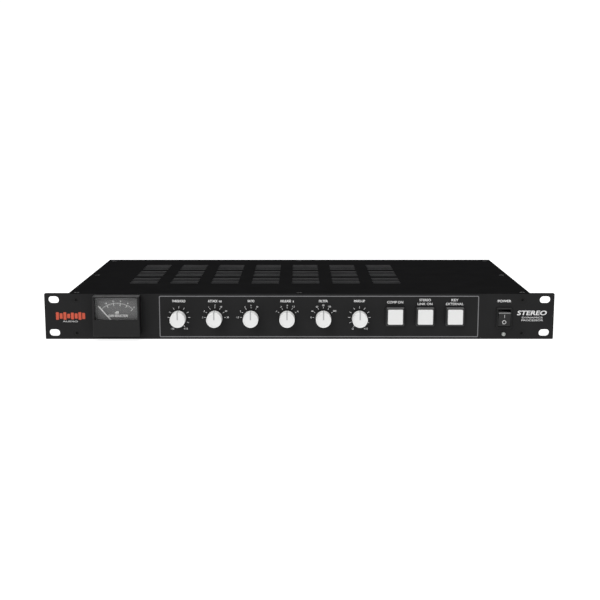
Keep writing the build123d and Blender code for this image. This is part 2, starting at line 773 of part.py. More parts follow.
def make_input_sockets():
    with BuildPart() as socket:
        with BuildSketch(facing_front(CASE_DEPTH)):
            draw_xlr_flange()
        extrude(amount=CASE_DEPTH - XLR_FLANGE_BACK)
        with BuildSketch(facing_front(CASE_DEPTH)):
            Circle(XLR_BARREL_RADIUS)
        extrude(amount=CASE_DEPTH - XLR_DEPTH_START)
        add(block((-6, 6), (224, CASE_DEPTH), (8, 15)))
        with BuildSketch(facing_front(XLR_FLANGE_BACK)):
            Circle(SOCKET_MOUTH_RADIUS)
        extrude(amount=XLR_FLANGE_BACK - XLR_DEPTH_START - 2.0, mode=Mode.SUBTRACT)
        add(block((-4, 4), (226, 240), around(LATCH_Z, 2.0)), mode=Mode.SUBTRACT)
    with BuildPart() as input_sockets:
        with Locations(*[(x, 0, 0) for x in INPUT_X]):
            add(socket.part)
    return input_sockets.part


def make_input_inserts():
    insert_radius = 7.8
    insert_back = XLR_FLANGE_BACK - 1.0
    with BuildPart() as insert:
        with BuildSketch(facing_front(XLR_DEPTH_START + 2.0)):
            Circle(insert_radius)
        extrude(amount=XLR_DEPTH_START + 2.0 - insert_back)
        with BuildSketch(facing_front(insert_back)):
            with Locations(*XLR_CONTACTS):
                Circle(1.35)
        extrude(amount=15.0, mode=Mode.SUBTRACT)
    with BuildPart() as input_inserts:
        with Locations(*[(x, 0, 0) for x in INPUT_X]):
            add(insert.part)
    return input_inserts.part


def make_latch(x):
    with BuildPart() as latch:
        add(block(around(x, 3.7), (230, XLR_FLANGE_BACK + 2.5), around(LATCH_Z, 1.7)))
        fillet(latch.faces().sort_by(Axis.Y)[-1].edges(), 0.6)
    return latch.part


def make_output_sockets():
    cup_radius = 8.3
    cup_floor = 221.0
    with BuildPart() as socket:
        with BuildSketch(facing_front(CASE_DEPTH)):
            draw_xlr_flange()
        extrude(amount=CASE_DEPTH - XLR_FLANGE_BACK)
        with BuildSketch(facing_front(CASE_DEPTH)):
            Circle(XLR_BARREL_RADIUS)
        extrude(amount=CASE_DEPTH - XLR_DEPTH_START - 2.0)
        with BuildSketch(facing_front(XLR_FLANGE_BACK)):
            Circle(cup_radius)
        extrude(amount=XLR_FLANGE_BACK - cup_floor, mode=Mode.SUBTRACT)
        with BuildSketch(facing_front(XLR_FLANGE_BACK)):
            with Locations(*XLR_CONTACTS):
                Circle(1.2)
        extrude(amount=40, mode=Mode.SUBTRACT)
    with BuildPart() as output_sockets:
        with Locations(*[(x, 0, 0) for x in OUTPUT_X]):
            add(socket.part)
    return output_sockets.part


def make_sidechain_jacks():
    nose_back = CASE_DEPTH + 4.5
    with BuildPart() as jack:
        add(block((-8, 8), (208, REAR_INNER), (-6.5, 6.5)))
        fillet(jack.edges().filter_by(Axis.Y), 1.0)
        with BuildSketch(facing_front(REAR_INNER)):
            Circle(JACK_NOSE_RADIUS)
        extrude(amount=REAR_INNER - nose_back)
        with BuildSketch(facing_front(nose_back)):
            Circle(JACK_BORE_RADIUS)
        extrude(amount=29.5, mode=Mode.SUBTRACT)
    with BuildPart() as nut:
        with BuildSketch(facing_front(CASE_DEPTH)):
            RegularPolygon(6.5, 6, major_radius=False)
            Circle(JACK_NOSE_RADIUS + 0.05, mode=Mode.SUBTRACT)
        extrude(amount=-2.4)
        chamfer(nut.faces().sort_by(Axis.Y)[-1].outer_wire().edges(), 0.4)
    with BuildPart() as sidechain_jacks:
        with Locations(*[(x, 0, 0) for x in JACK_X]):
            add(jack.part)
            add(nut.part)
    return sidechain_jacks.part


def make_mains_inlet():
    body_start = 212.0
    with BuildPart() as inlet:
        with BuildSketch(facing_front(CASE_DEPTH)):
            RectangleRounded(50.0, 31.0, 3.0)
            with Locations((-20, 0), (20, 0)):
                Circle(1.6, mode=Mode.SUBTRACT)
        extrude(amount=CASE_DEPTH - INLET_FLANGE_BACK)
        with BuildSketch(facing_front(CASE_DEPTH)):
            Rectangle(INLET_BODY_WIDTH, INLET_BODY_HEIGHT)
        extrude(amount=CASE_DEPTH - body_start)
        with BuildSketch(facing_front(INLET_FLANGE_BACK)):
            with BuildLine():
                Polyline((-12, -3.6), (12, -3.6), (12, 8.6), (8, 12.6), (-8, 12.6), (-12, 8.6), close=True)
            make_face()
        extrude(amount=INLET_FLANGE_BACK - INLET_FLOOR, mode=Mode.SUBTRACT)
        with BuildSketch(facing_front(INLET_FLANGE_BACK)):
            with Locations(*BLADE_PLACES):
                Rectangle(2.0, 4.0)
        extrude(amount=40, mode=Mode.SUBTRACT)
        add(block((-11, 11), (216, 240), around(DRAWER_Z, 3.0)), mode=Mode.SUBTRACT)
    with BuildPart() as mains_inlet:
        with Locations((INLET_X, 0, 0)):
            add(inlet.part)
    return mains_inlet.part


def make_rear_contacts():
    """The output sockets' pins and the inlet's blades."""
    pin = turned([(0, 208), (1.2, 208), (1.2, 231.6), (0.7, 232.3), (0, 232.3)])
    pin_places = [(x + dx, 0, dz) for x in OUTPUT_X for dx, dz in XLR_CONTACTS]
    with BuildPart() as rear_contacts:
        with Locations(*pin_places):
            add(pin)
        for dx, dz in BLADE_PLACES:
            add(block(around(INLET_X + dx, 1.0), (206, 233), around(dz, 2.0)))
    return rear_contacts.part


def make_fuse_drawer():
    fuse_y = 225.0
    with BuildPart() as fuse_drawer:
        add(block(around(INLET_X, 10.7), (217, INLET_FLANGE_BACK), around(DRAWER_Z, 2.7)))
        face_y = (INLET_FLANGE_BACK, INLET_FLANGE_BACK + 2.0)
        add(block(around(INLET_X, 12.0), face_y, around(DRAWER_Z, 4.0)))
        fillet(fuse_drawer.faces().sort_by(Axis.Y)[-1].edges(), 0.5)
        pocket = (around(INLET_X, 10.15), around(fuse_y, 2.9), (DRAWER_Z - 2.3, DRAWER_Z + 5))
        add(block(*pocket), mode=Mode.SUBTRACT)
        with BuildSketch(Plane.YZ.offset(INLET_X - 10.0)):
            with Locations((fuse_y, DRAWER_Z + 0.3)):
                Circle(2.3)
        extrude(amount=20.0)
    return fuse_drawer.part


def make_rear_screws():
    """Pan-head screws through the connectors' plates."""
    def pan_screw(seat):
        return turned([
            (0, seat - 7.0),
            (1.5, seat - 7.0),
            (1.5, seat),
            (2.8, seat),
            (2.8, seat + 1.1),
            (2.1, seat + 1.8),
            (0, seat + 1.8),
        ])

    xlr_screw = pan_screw(XLR_FLANGE_BACK)
    inlet_screw = pan_screw(INLET_FLANGE_BACK)
    with BuildPart() as rear_screws:
        with Locations(*[(x, 0, z) for x, z in XLR_SCREW_PLACES]):
            add(xlr_screw)
        with Locations(*[(x, 0, z) for x, z in INLET_SCREW_PLACES]):
            add(inlet_screw)
    return rear_screws.part


# ---------------------------------------------------------------- inside the case
def make_main_board():
    with BuildPart() as main_board:
        add(block((-206, 96), (58, 204), (MAIN_BOARD_BOTTOM, MAIN_BOARD_TOP)))
        with BuildSketch(Plane.XY.offset(MAIN_BOARD_TOP)):
            with Locations(*SUPPORT_PLACES):
                Circle(1.7)
        extrude(amount=-BOARD_THICKNESS, mode=Mode.SUBTRACT)
    return main_board.part


def make_board_standoffs():
    support = upright([
        (0, FLOOR_TOP),
        (3.2, FLOOR_TOP),
        (3.2, MAIN_BOARD_BOTTOM),
        (1.6, MAIN_BOARD_BOTTOM),
        (1.6, MAIN_BOARD_TOP),
        (2.6, MAIN_BOARD_TOP),
        (1.2, MAIN_BOARD_TOP + 2.2),
        (0, MAIN_BOARD_TOP + 2.2),
    ])
    with BuildPart() as board_standoffs:
        with Locations(*[(x, y, 0) for x, y in SUPPORT_PLACES]):
            add(support)
    return board_standoffs.part


TOROID_BOTTOM = FLOOR_TOP + 1.5
TOROID_TOP = TOROID_BOTTOM + 28.0


def make_power_transformer():
    with BuildPart() as power_transformer:
        with BuildSketch(Plane(origin=(TRANSFORMER_X, TRANSFORMER_Y, 0), z_dir=(0, -1, 0), x_dir=(1, 0, 0))):
            with Locations((24.5, (TOROID_BOTTOM + TOROID_TOP) / 2)):
                RectangleRounded(25.0, TOROID_TOP - TOROID_BOTTOM, 6.0)
        revolve(axis=Axis((TRANSFORMER_X, TRANSFORMER_Y, 0), (0, 0, 1)))
    return power_transformer.part


def make_transformer_mount():
    pad_top = TOROID_TOP + 1.5
    dish_bottom = pad_top + JOINT_LINE
    dish_top = dish_bottom + 1.5
    nut_bottom = dish_top + JOINT_LINE
    nut_top = nut_bottom + 4.5
    lower_pad = upright([(3.3, FLOOR_TOP), (34, FLOOR_TOP), (34, TOROID_BOTTOM), (3.3, TOROID_BOTTOM)])
    upper_pad = upright([(3.3, TOROID_TOP), (30, TOROID_TOP), (30, pad_top), (3.3, pad_top)])
    dish = upright([(3.3, dish_bottom), (28, dish_bottom), (26, dish_top), (3.3, dish_top)])
    with BuildPart() as bolt:
        add(upright([(0, FLOOR_TOP), (3, FLOOR_TOP), (3, nut_top + 1), (0, nut_top + 1)]))
        with BuildSketch(Plane.XY.offset(nut_bottom)):
            RegularPolygon(5.0, 6, major_radius=False)
        extrude(amount=nut_top - nut_bottom)
    with BuildPart() as transformer_mount:
        with Locations((TRANSFORMER_X, TRANSFORMER_Y, 0)):
            add(lower_pad)
            add(upper_pad)
            add(dish)
            add(bolt.part)
    return transformer_mount.part


def make_output_transformers():
    can = 28.0
    with BuildPart() as output_transformers:
        for x in OUTPUT_X:
            with BuildSketch(Plane.XY.offset(MAIN_BOARD_TOP)):
                with Locations((x, 172)):
                    RectangleRounded(can, can, 2.0)
            extrude(amount=24.0)
        fillet(output_transformers.faces().filter_by(Axis.Z).group_by(Axis.Z)[-1].edges(), 1.0)
    return output_transformers.part


def capacitor(radius, height):
    """An electrolytic capacitor standing on the main board, with its crimped neck."""
    base = MAIN_BOARD_TOP
    return upright([
        (0, base),
        (radius, base),
        (radius, base + 1.8),
        (radius - 0.4, base + 2.2),
        (radius, base + 2.6),
        (radius, base + height - 0.4),
        (radius - 0.4, base + height),
        (0, base + height),
    ])


def make_capacitors():
    reservoir = capacitor(9.0, 26.0)
    coupling = capacitor(4.0, 12.0)
    with BuildPart() as capacitors:
        with Locations(*[(x, y, 0) for x in (30.0, 52.0) for y in (92.0, 114.0, 136.0)]):
            add(reservoir)
        with Locations(*[(-190.0 + 12.0 * i, y, 0) for i in range(5) for y in (165.0, 185.0)]):
            add(coupling)
        with Locations(*[(x, 75.0, 0) for x in (-100.0, -84.0, -68.0, -30.0)]):
            add(coupling)
    return capacitors.part


def make_heatsinks():
    fin_pitch = 7.0
    with BuildPart() as heatsinks:
        for x, y in ((20.0, 182.0), (66.0, 182.0)):
            with BuildSketch(Plane.XY.offset(MAIN_BOARD_TOP)):
                with Locations((x, y)):
                    Rectangle(32.0, 3.0)
                with Locations(*[(x + fin_pitch * i, y - 6.5) for i in range(-2, 3)]):
                    Rectangle(1.6, 13.0)
            extrude(amount=24.0)
    return heatsinks.part


def make_ribbon_cable():
    x = 17.0
    board_back = CONTROL_BOARD_Y + BOARD_THICKNESS
    with BuildPart() as ribbon_cable:
        add(block(around(x, 17), (board_back, 26 - JOINT_LINE), (-9, -3)))
        add(block(around(x, 17), (62 + JOINT_LINE, 70), (MAIN_BOARD_TOP, MAIN_BOARD_TOP + 6.2)))
        with BuildSketch(Plane.YZ.offset(x - 15)):
            with BuildLine():
                Polyline(
                    (26, -6.45),
                    (41, -6.45),
                    (51, -9.45),
                    (62, -9.45),
                    (62, -8.55),
                    (51.4, -8.55),
                    (41.4, -5.55),
                    (26, -5.55),
                    close=True,
                )
            make_face()
        extrude(amount=30)
    return ribbon_cable.part


def make_mains_leads():
    """The sleeved pair between the inlet and the power switch, along the right-hand wall."""
    with BuildPart() as mains_leads:
        with BuildLine() as route:
            FilletPolyline(
                (INLET_X, 212, -1.6),
                (INLET_X, 194, -1.6),
                (205, 172, -1.6),
                (205, 60, -1.6),
                (POWER_X, 44, -1.6),
                (POWER_X, 26, -1.6),
                radius=9,
            )
        with BuildSketch(Plane(origin=route.line @ 0, z_dir=route.line % 0)):
            Circle(3.0)
        sweep()
    return mains_leads.part


# ---------------------------------------------------------------- write every piece
pieces = {
    "front_panel": make_front_panel(),
    "case_frame": make_case_frame(),
    "case_floor": make_case_floor(),
    "rear_panel": make_rear_panel(),
    "top_cover": make_top_cover(),
    "case_screws": make_case_screws(),
    "control_nuts": make_control_nuts(),
    "potentiometers": make_potentiometers(),
    "rotary_switches": make_rotary_switches(),
    "control_board": make_control_board(),
    "button_bezels": make_button_bezels(),
    "button_switches": make_button_switches(),
    "power_switch_housing": make_power_switch_housing(),
    "power_rocker": make_power_rocker(),
    "power_led": make_power_led(),
    "meter_housing": make_meter_housing(),
    "meter_window": make_meter_window(),
    "meter_dial": make_meter_dial(),
    "meter_movement": make_meter_movement(),
    "meter_needle": make_meter_needle(),
    "input_sockets": make_input_sockets(),
    "input_inserts": make_input_inserts(),
    "output_sockets": make_output_sockets(),
    "sidechain_jacks": make_sidechain_jacks(),
    "mains_inlet": make_mains_inlet(),
    "rear_contacts": make_rear_contacts(),
    "fuse_drawer": make_fuse_drawer(),
    "rear_screws": make_rear_screws(),
    "main_board": make_main_board(),
    "board_standoffs": make_board_standoffs(),
    "power_transformer": make_power_transformer(),
    "transformer_mount": make_transformer_mount(),
    "output_transformers": make_output_transformers(),
    "capacitors": make_capacitors(),
    "heatsinks": make_heatsinks(),
    "ribbon_cable": make_ribbon_cable(),
    "mains_leads": make_mains_leads(),
}
for number, x in enumerate(KNOB_X, start=1):
    pieces[f"knob_{number}"] = make_knob(x)
    pieces[f"shaft_{number}"] = make_shaft(x)
for number, x in enumerate(BUTTON_X, start=1):
    pieces[f"button_cap_{number}"] = make_button_cap(x)
    pieces[f"button_plunger_{number}"] = make_button_plunger(x)
    pieces[f"button_spring_{number}"] = make_button_spring(x)
for side, x in zip(("left", "right"), INPUT_X):
    pieces[f"latch_{side}"] = make_latch(x)

os.makedirs("parts", exist_ok=True)
for name, part in pieces.items():
    part.label = name
    export_step(part, f"parts/{name}.step")
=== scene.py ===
import json
import math

import bmesh
import bpy
from mathutils import Matrix, Vector


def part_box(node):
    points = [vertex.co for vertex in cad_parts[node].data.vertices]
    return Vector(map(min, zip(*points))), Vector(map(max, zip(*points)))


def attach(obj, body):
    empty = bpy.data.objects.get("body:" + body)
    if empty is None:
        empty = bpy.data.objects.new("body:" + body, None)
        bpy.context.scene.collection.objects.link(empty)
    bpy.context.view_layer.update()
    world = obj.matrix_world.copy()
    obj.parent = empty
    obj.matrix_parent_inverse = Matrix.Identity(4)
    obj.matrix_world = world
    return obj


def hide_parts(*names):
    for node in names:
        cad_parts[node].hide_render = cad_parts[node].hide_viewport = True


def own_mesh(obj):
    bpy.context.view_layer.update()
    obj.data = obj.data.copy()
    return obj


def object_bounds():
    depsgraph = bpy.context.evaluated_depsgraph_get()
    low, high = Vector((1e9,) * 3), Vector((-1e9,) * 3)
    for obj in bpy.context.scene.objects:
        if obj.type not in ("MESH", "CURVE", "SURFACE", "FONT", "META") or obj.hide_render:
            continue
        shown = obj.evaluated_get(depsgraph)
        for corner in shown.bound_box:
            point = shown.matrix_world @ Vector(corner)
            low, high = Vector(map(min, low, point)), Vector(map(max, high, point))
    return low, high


# A one-unit rack compressor. X points right and Z up as seen from the front, Y towards the back.
# Everything here is in metres; MM turns a size given in millimetres into metres.

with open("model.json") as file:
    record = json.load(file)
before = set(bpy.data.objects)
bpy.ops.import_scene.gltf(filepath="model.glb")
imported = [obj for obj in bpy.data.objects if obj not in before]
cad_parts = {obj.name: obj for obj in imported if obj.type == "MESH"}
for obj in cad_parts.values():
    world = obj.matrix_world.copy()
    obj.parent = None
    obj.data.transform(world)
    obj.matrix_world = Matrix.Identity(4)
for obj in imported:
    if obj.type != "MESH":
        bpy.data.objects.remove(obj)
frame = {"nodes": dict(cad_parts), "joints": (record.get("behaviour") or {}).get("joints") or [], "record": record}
cad_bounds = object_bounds()

MM = 0.001

joints = {joint["name"]: joint for joint in frame["joints"]}
nodes = frame["nodes"]
panel_low, panel_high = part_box("front_panel")
PANEL_FACE = panel_low.y
REAR_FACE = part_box("top_cover")[1].y
KNOB_CENTRES = [Vector(joints[f"knob_{i}_turn"]["pos_m"]) for i in range(1, 7)]
BUTTON_BOXES = [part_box(f"button_cap_{i}") for i in range(1, 4)]
NEEDLE_PIVOT = Vector(joints["needle_swing"]["pos_m"])
ROCKER_PIVOT = Vector(joints["rocker_tilt"]["pos_m"])


def middle(box):
    """The centre of a node's box."""
    return (box[0] + box[1]) / 2


def beside(centre, angle, radius):
    """The point (x, z) at radius from centre, angle degrees clockwise from straight up."""
    turn = math.radians(angle)
    return (centre.x + radius * math.sin(turn), centre.z + radius * math.cos(turn))


# ---------------------------------------------------------------- materials
COAT_ROUGHNESS = 0.12
NOISE_LOW, NOISE_HIGH = 0.3, 0.7
MIX_FIRST, MIX_SECOND, MIX_RESULT = 6, 7, 2


def principled(material):
    """The material's shader node."""
    return material.node_tree.nodes["Principled BSDF"]


def new_surface(name, color, roughness, metallic=0.0, specular=0.5, coat=0.0, alpha=1.0):
    """A material whose even values sit on the shader's own sockets."""
    material = bpy.data.materials.new(name)
    material.use_nodes = True
    inputs = principled(material).inputs
    inputs["Base Color"].default_value = (*color, 1.0)
    inputs["Roughness"].default_value = roughness
    inputs["Metallic"].default_value = metallic
    inputs["Specular IOR Level"].default_value = specular
    inputs["Coat Weight"].default_value = coat
    inputs["Coat Roughness"].default_value = COAT_ROUGHNESS
    inputs["Alpha"].default_value = alpha
    return material


def add_node(material, kind, **inputs):
    """A new shader node with its unlinked inputs filled in; an underscore stands for a space."""
    node = material.node_tree.nodes.new(kind)
    for name, value in inputs.items():
        node.inputs[name.replace("_", " ")].default_value = value
    return node


def link(material, output, socket):
    """Links one node's output to another's input."""
    material.node_tree.links.new(output, socket)


def place_of(material):
    """The shaded point in object coordinates."""
    return add_node(material, "ShaderNodeTexCoord").outputs["Object"]


def noise(material, place, scale, detail=3.0, roughness=0.5):
    """Soft noise with about scale features to the metre."""
    node = add_node(material, "ShaderNodeTexNoise", Scale=scale, Detail=detail, Roughness=roughness)
    link(material, place, node.inputs["Vector"])
    return node.outputs["Fac"]


def spread(material, factor, low, high):
    """The noise's middle range carried to the range low to high."""
    node = add_node(material, "ShaderNodeMapRange", From_Min=NOISE_LOW, From_Max=NOISE_HIGH,
                    To_Min=low, To_Max=high)
    link(material, factor, node.inputs["Value"])
    return node.outputs["Result"]


def calculate(material, operation, *values):
    """The result of a Math node; each value is a number or another node's output."""
    node = add_node(material, "ShaderNodeMath")
    node.operation = operation
    for socket, value in zip(node.inputs, values):
        if isinstance(value, bpy.types.NodeSocket):
            link(material, value, socket)
        else:
            socket.default_value = value
    return node.outputs["Value"]


def blend_colors(material, factor, first, second):
    """A colour that goes from first to second with the factor."""
    node = add_node(material, "ShaderNodeMix")
    node.data_type = "RGBA"
    link(material, factor, node.inputs["Factor"])
    node.inputs[MIX_FIRST].default_value = (*first, 1.0)
    node.inputs[MIX_SECOND].default_value = (*second, 1.0)
    return node.outputs[MIX_RESULT]


def set_color(material, output):
    link(material, output, principled(material).inputs["Base Color"])


def set_roughness(material, output):
    link(material, output, principled(material).inputs["Roughness"])


def set_bump(material, height, strength, distance):
    """Bump from a height; distance is in metres."""
    bump = add_node(material, "ShaderNodeBump", Strength=strength, Distance=distance)
    link(material, height, bump.inputs["Height"])
    link(material, bump.outputs["Normal"], principled(material).inputs["Normal"])


def shade(color, amount):
    """The colour made darker, or lighter up to white."""
    return tuple(min(1.0, part * amount) for part in color)


CLOUDS = {"scale": 45.0, "detail": 4.0, "roughness": 0.6}
SMUDGES = {"scale": 90.0, "detail": 3.0, "roughness": 0.55}
SMUDGE_RANGE = 0.12


def grained(name, color, roughness, vary=0.12, grain=1500.0, depth=0.01 * MM, strength=0.25, **even):
    """A painted, moulded or plated surface: cloudy colour, uneven gloss and a fine grain.

    vary is how far the colour strays, grain the features to the metre, and depth and strength
    belong to the bump."""
    material = new_surface(name, color, roughness, **even)
    place = place_of(material)
    clouds = spread(material, noise(material, place, **CLOUDS), 0.0, 1.0)
    set_color(material, blend_colors(material, clouds, shade(color, 1.0 - vary), shade(color, 1.0 + vary)))
    smudges = noise(material, place, **SMUDGES)
    duller = min(1.0, roughness * (1.0 + SMUDGE_RANGE))
    set_roughness(material, spread(material, smudges, roughness * (1.0 - SMUDGE_RANGE), duller))
    set_bump(material, noise(material, place, grain, 2.0, 0.6), strength, depth)
    return material


def circuit_board():
    """Green solder mask in two tones, with pale copper pads showing through it."""
    mask, light_mask, copper = (0.02, 0.12, 0.05), (0.035, 0.2, 0.08), (0.62, 0.6, 0.5)
    material = new_surface("circuit_board", mask, 0.35)
    place = place_of(material)
    pads = add_node(material, "ShaderNodeTexVoronoi", Scale=110.0)
    pads.distance = "MANHATTAN"
    link(material, place, pads.inputs["Vector"])
    ramp = add_node(material, "ShaderNodeValToRGB")
    tones = ramp.color_ramp
    tones.interpolation = "CONSTANT"
    tones.elements[0].color = (*copper, 1.0)
    tones.elements[1].position = 0.12
    tones.elements[1].color = (*mask, 1.0)
    tones.elements.new(0.52).color = (*light_mask, 1.0)
    link(material, pads.outputs["Distance"], ramp.inputs["Fac"])
    set_color(material, ramp.outputs["Color"])
    set_bump(material, noise(material, place, 900.0), 0.15, 0.02 * MM)
    return material


TAPE_TURNS = 36


def taped_winding():
    """Overlapping turns of yellow tape round a ring core."""
    material = new_surface("transformer_tape", (0.55, 0.40, 0.07), 0.32)
    core = middle(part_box("power_transformer"))
    shift = add_node(material, "ShaderNodeMapping", Location=tuple(-core))
    link(material, place_of(material), shift.inputs["Vector"])
    split = add_node(material, "ShaderNodeSeparateXYZ")
    link(material, shift.outputs["Vector"], split.inputs["Vector"])
    angle = calculate(material, "ARCTAN2", split.outputs["Y"], split.outputs["X"])
    turns = calculate(material, "MULTIPLY", angle, TAPE_TURNS / math.tau)
    overlap = calculate(material, "FRACT", turns)
    set_color(material, blend_colors(material, overlap, (0.42, 0.29, 0.04), (0.62, 0.46, 0.09)))
    set_bump(material, overlap, 0.5, 0.2 * MM)
    return material


WAVES_PER_SCALE = 20 / math.tau


def banded(name, color, roughness, axis, pitch, low):
    """Fine parallel ribs across one axis, pitch metres apart, with painted shade in between: the colour there is
    low times as bright.
    """
    material = new_surface(name, color, roughness)
    wave = add_node(material, "ShaderNodeTexWave", Scale=1 / (WAVES_PER_SCALE * pitch), Distortion=0.0)
    wave.bands_direction = axis
    link(material, place_of(material), wave.inputs["Vector"])
    # The darker colour between the ribs is painted shade in the valleys.
    set_color(material, blend_colors(material, wave.outputs["Fac"], shade(color, low), color))
    set_bump(material, wave.outputs["Fac"], 0.6, 0.1 * MM)
    return material


def clear_window():
    """Clear plastic: mostly see-through, with a polished face."""
    material = new_surface("meter_glass", (0.03, 0.03, 0.03), 0.05, alpha=0.1)
    place = place_of(material)
    set_roughness(material, spread(material, noise(material, place, 200.0), 0.03, 0.07))
    set_bump(material, noise(material, place, 60.0), 0.03, 0.02 * MM)
    return material


# What grained() is told about each surface that isn't a bright metal or an ink.
COATINGS = {
    "panel_black": dict(color=(0.0140, 0.0140, 0.0143), roughness=0.5, vary=0.08, grain=2600.0,
                        depth=0.02 * MM, strength=0.35, specular=0.06),
    # The top cover's black: a darker, matt copy of the case's black, painted shade on the cover's top.
    "cover_black_painted_shade": dict(color=(0.0066, 0.0066, 0.0068), roughness=0.9, vary=0.10, depth=0.04 * MM,
                        strength=0.5, specular=0.0),
    "case_black": dict(color=(0.011, 0.011, 0.0113), roughness=0.55, vary=0.10, depth=0.03 * MM,
                       strength=0.5, specular=0.2),
    # The cover's slot walls: a light grey that stands for the front light they catch, painted light.
    "slot_wall_painted_light": dict(color=(0.10, 0.10, 0.102), roughness=0.6, vary=0.10, depth=0.02 * MM, strength=0.3,
                     specular=0.1),
    "screw_black": dict(color=(0.006, 0.006, 0.006), roughness=0.42, specular=0.15),
    "nut_black": dict(color=(0.008, 0.008, 0.008), roughness=0.45, specular=0.2),
    "control_metal": dict(color=(0.55, 0.55, 0.55), roughness=0.35, metallic=1.0),
    "control_plastic": dict(color=(0.03, 0.03, 0.034), roughness=0.5),
    "bezel_black": dict(color=(0.009, 0.009, 0.0095), roughness=0.36, vary=0.08, grain=2500.0,
                        strength=0.3, specular=0.4),
    "rocker_black": dict(color=(0.004, 0.004, 0.0042), roughness=0.3, vary=0.06, grain=2500.0,
                         depth=0.005 * MM, strength=0.2, specular=0.3),
    # The rocker's upward faces: a lighter copy of the rocker's black, a painted highlight.
    "rocker_painted_highlight": dict(color=(0.035, 0.035, 0.036), roughness=0.3, vary=0.06, grain=2500.0,
                        depth=0.005 * MM, strength=0.2, specular=0.75),
    "switch_black": dict(color=(0.004, 0.004, 0.0042), roughness=0.4, vary=0.08, grain=2500.0,
                         strength=0.3, specular=0.2),
    "lamp_lens": dict(color=(0.27, 0.28, 0.27), roughness=0.12, vary=0.05, grain=900.0,
                      depth=0.002 * MM, strength=0.1, coat=0.6),
    "meter_black": dict(color=(0.0055, 0.0055, 0.0057), roughness=0.4, vary=0.06, grain=2200.0,
                        specular=0.2),
    "dial_face": dict(color=(0.17, 0.171, 0.171), roughness=0.6, vary=0.03, grain=3000.0, strength=0.15),
    "needle": dict(color=(0.9, 0.9, 0.89), roughness=0.4, vary=0.03),
    "connector_plastic": dict(color=(0.018, 0.018, 0.019), roughness=0.45),
    "contact_metal": dict(color=(0.83, 0.74, 0.5), roughness=0.22, vary=0.06, metallic=1.0),
    "support_plastic": dict(color=(0.7, 0.7, 0.66), roughness=0.5, vary=0.05),
    "screening_can": dict(color=(0.5, 0.5, 0.51), roughness=0.3, vary=0.08, metallic=1.0),
    "capacitor_sleeve": dict(color=(0.02, 0.025, 0.07), roughness=0.3, vary=0.1),
    "heatsink_metal": dict(color=(0.02, 0.02, 0.021), roughness=0.42, vary=0.1, metallic=0.6),
    "knob_white": dict(color=(0.64, 0.64, 0.635), roughness=0.38, vary=0.015, grain=1800.0,
                       depth=0.006 * MM, strength=0.2),
    "button_white": dict(color=(0.62, 0.62, 0.615), roughness=0.34, vary=0.015, grain=2200.0,
                         depth=0.005 * MM, strength=0.2),
}
# Colour and roughness of the bright metals.
METALS = {
    "connector_metal": ((0.56, 0.55, 0.53), 0.3),
    "screw_steel": ((0.6, 0.6, 0.6), 0.3),
    "shaft_steel": ((0.6, 0.6, 0.6), 0.25),
    "spring_steel": ((0.5, 0.5, 0.5), 0.3),
    "latch_metal": ((0.62, 0.61, 0.59), 0.26),
    "transformer_plate": ((0.55, 0.55, 0.54), 0.35),
}
METAL_GRAIN = dict(vary=0.06, grain=2500.0, depth=0.004 * MM, strength=0.3, metallic=1.0)
INKS = {
    "ink_white": (0.62, 0.62, 0.62),
    "ink_grey": (0.15, 0.15, 0.155),
    "ink_red": (0.46, 0.074, 0.040),
    "ink_dial": (0.9, 0.9, 0.89),
    "ink_pointer": (0.34, 0.34, 0.345),
    "ink_soft": (0.5, 0.5, 0.5),
}
INK_GRAIN = dict(roughness=0.55, vary=0.06, grain=5000.0, depth=0.004 * MM, strength=0.3, specular=0.2)


def make_materials():
    """One material for each of the record's slots, and a few for printed and fitted details."""
    surfaces = {
        "transformer_tape": taped_winding(),
        "ribbon": banded("ribbon", (0.34, 0.34, 0.36), 0.45, "X", 1.27 * MM, 0.75),
        "lead_sleeve": banded("lead_sleeve", (0.03, 0.03, 0.03), 0.6, "DIAGONAL", 1.0 * MM, 0.5),
        "circuit_board": circuit_board(),
        "meter_glass": clear_window(),
    }
    for name, look in COATINGS.items():
        surfaces[name] = grained(name, **look)
    for name, (color, roughness) in METALS.items():
        surfaces[name] = grained(name, color, roughness, **METAL_GRAIN)
    for name, color in INKS.items():
        surfaces[name] = grained(name, color, **INK_GRAIN)
    return surfaces


def dress_cad(surfaces):
    """Gives each CAD node the material of its slot; the switch housing is duller, and the cover gets a darker,
    matt copy of the case's black, painted shade for its top.
    """
    for part in frame["record"]["subparts"]:
        mesh = nodes[part["node"]].data
        mesh.materials.clear()
        mesh.materials.append(surfaces[part["material_slot"]])
    nodes["power_switch_housing"].data.materials[0] = surfaces["switch_black"]
    nodes["top_cover"].data.materials[0] = surfaces["cover_black_painted_shade"]


def dress_faces(node, material, chosen):
    """Gives the chosen faces of a CAD node a second material."""
    mesh = nodes[node].data
    mesh.materials.append(material)
    for face in mesh.polygons:
        if chosen(face):
            face.material_index = 1


EDGE_MARGIN = 1.0 * MM
# A face is a wall while the z of its normal is under WALL, and looks up when it is over UPWARD.
WALL = 0.3
UPWARD = 0.5


def shade_panel_top(surfaces):
    """The panel's upper edge is as dull and dark as the cover behind it: painted shade, so no bright line runs
    along it.
    """

    def on_top(face):
        return face.normal.z > WALL and face.center.z > panel_high.z - EDGE_MARGIN

    # Painted shade: the panel's top faces take the cover's darker black.
    dress_faces("front_panel", surfaces["cover_black_painted_shade"], on_top)


def dress_cover_slots(surfaces):
    """The walls of the cover's slots, its cut edges, are painted a lighter grey than the coated face: painted
    light for walls that face the front.
    """
    low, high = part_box("top_cover")

    def in_slot(face):
        inside_x = low.x + EDGE_MARGIN < face.center.x < high.x - EDGE_MARGIN
        inside_y = low.y + EDGE_MARGIN < face.center.y < high.y - EDGE_MARGIN
        return abs(face.normal.z) < WALL and inside_x and inside_y

    dress_faces("top_cover", surfaces["slot_wall_painted_light"], in_slot)


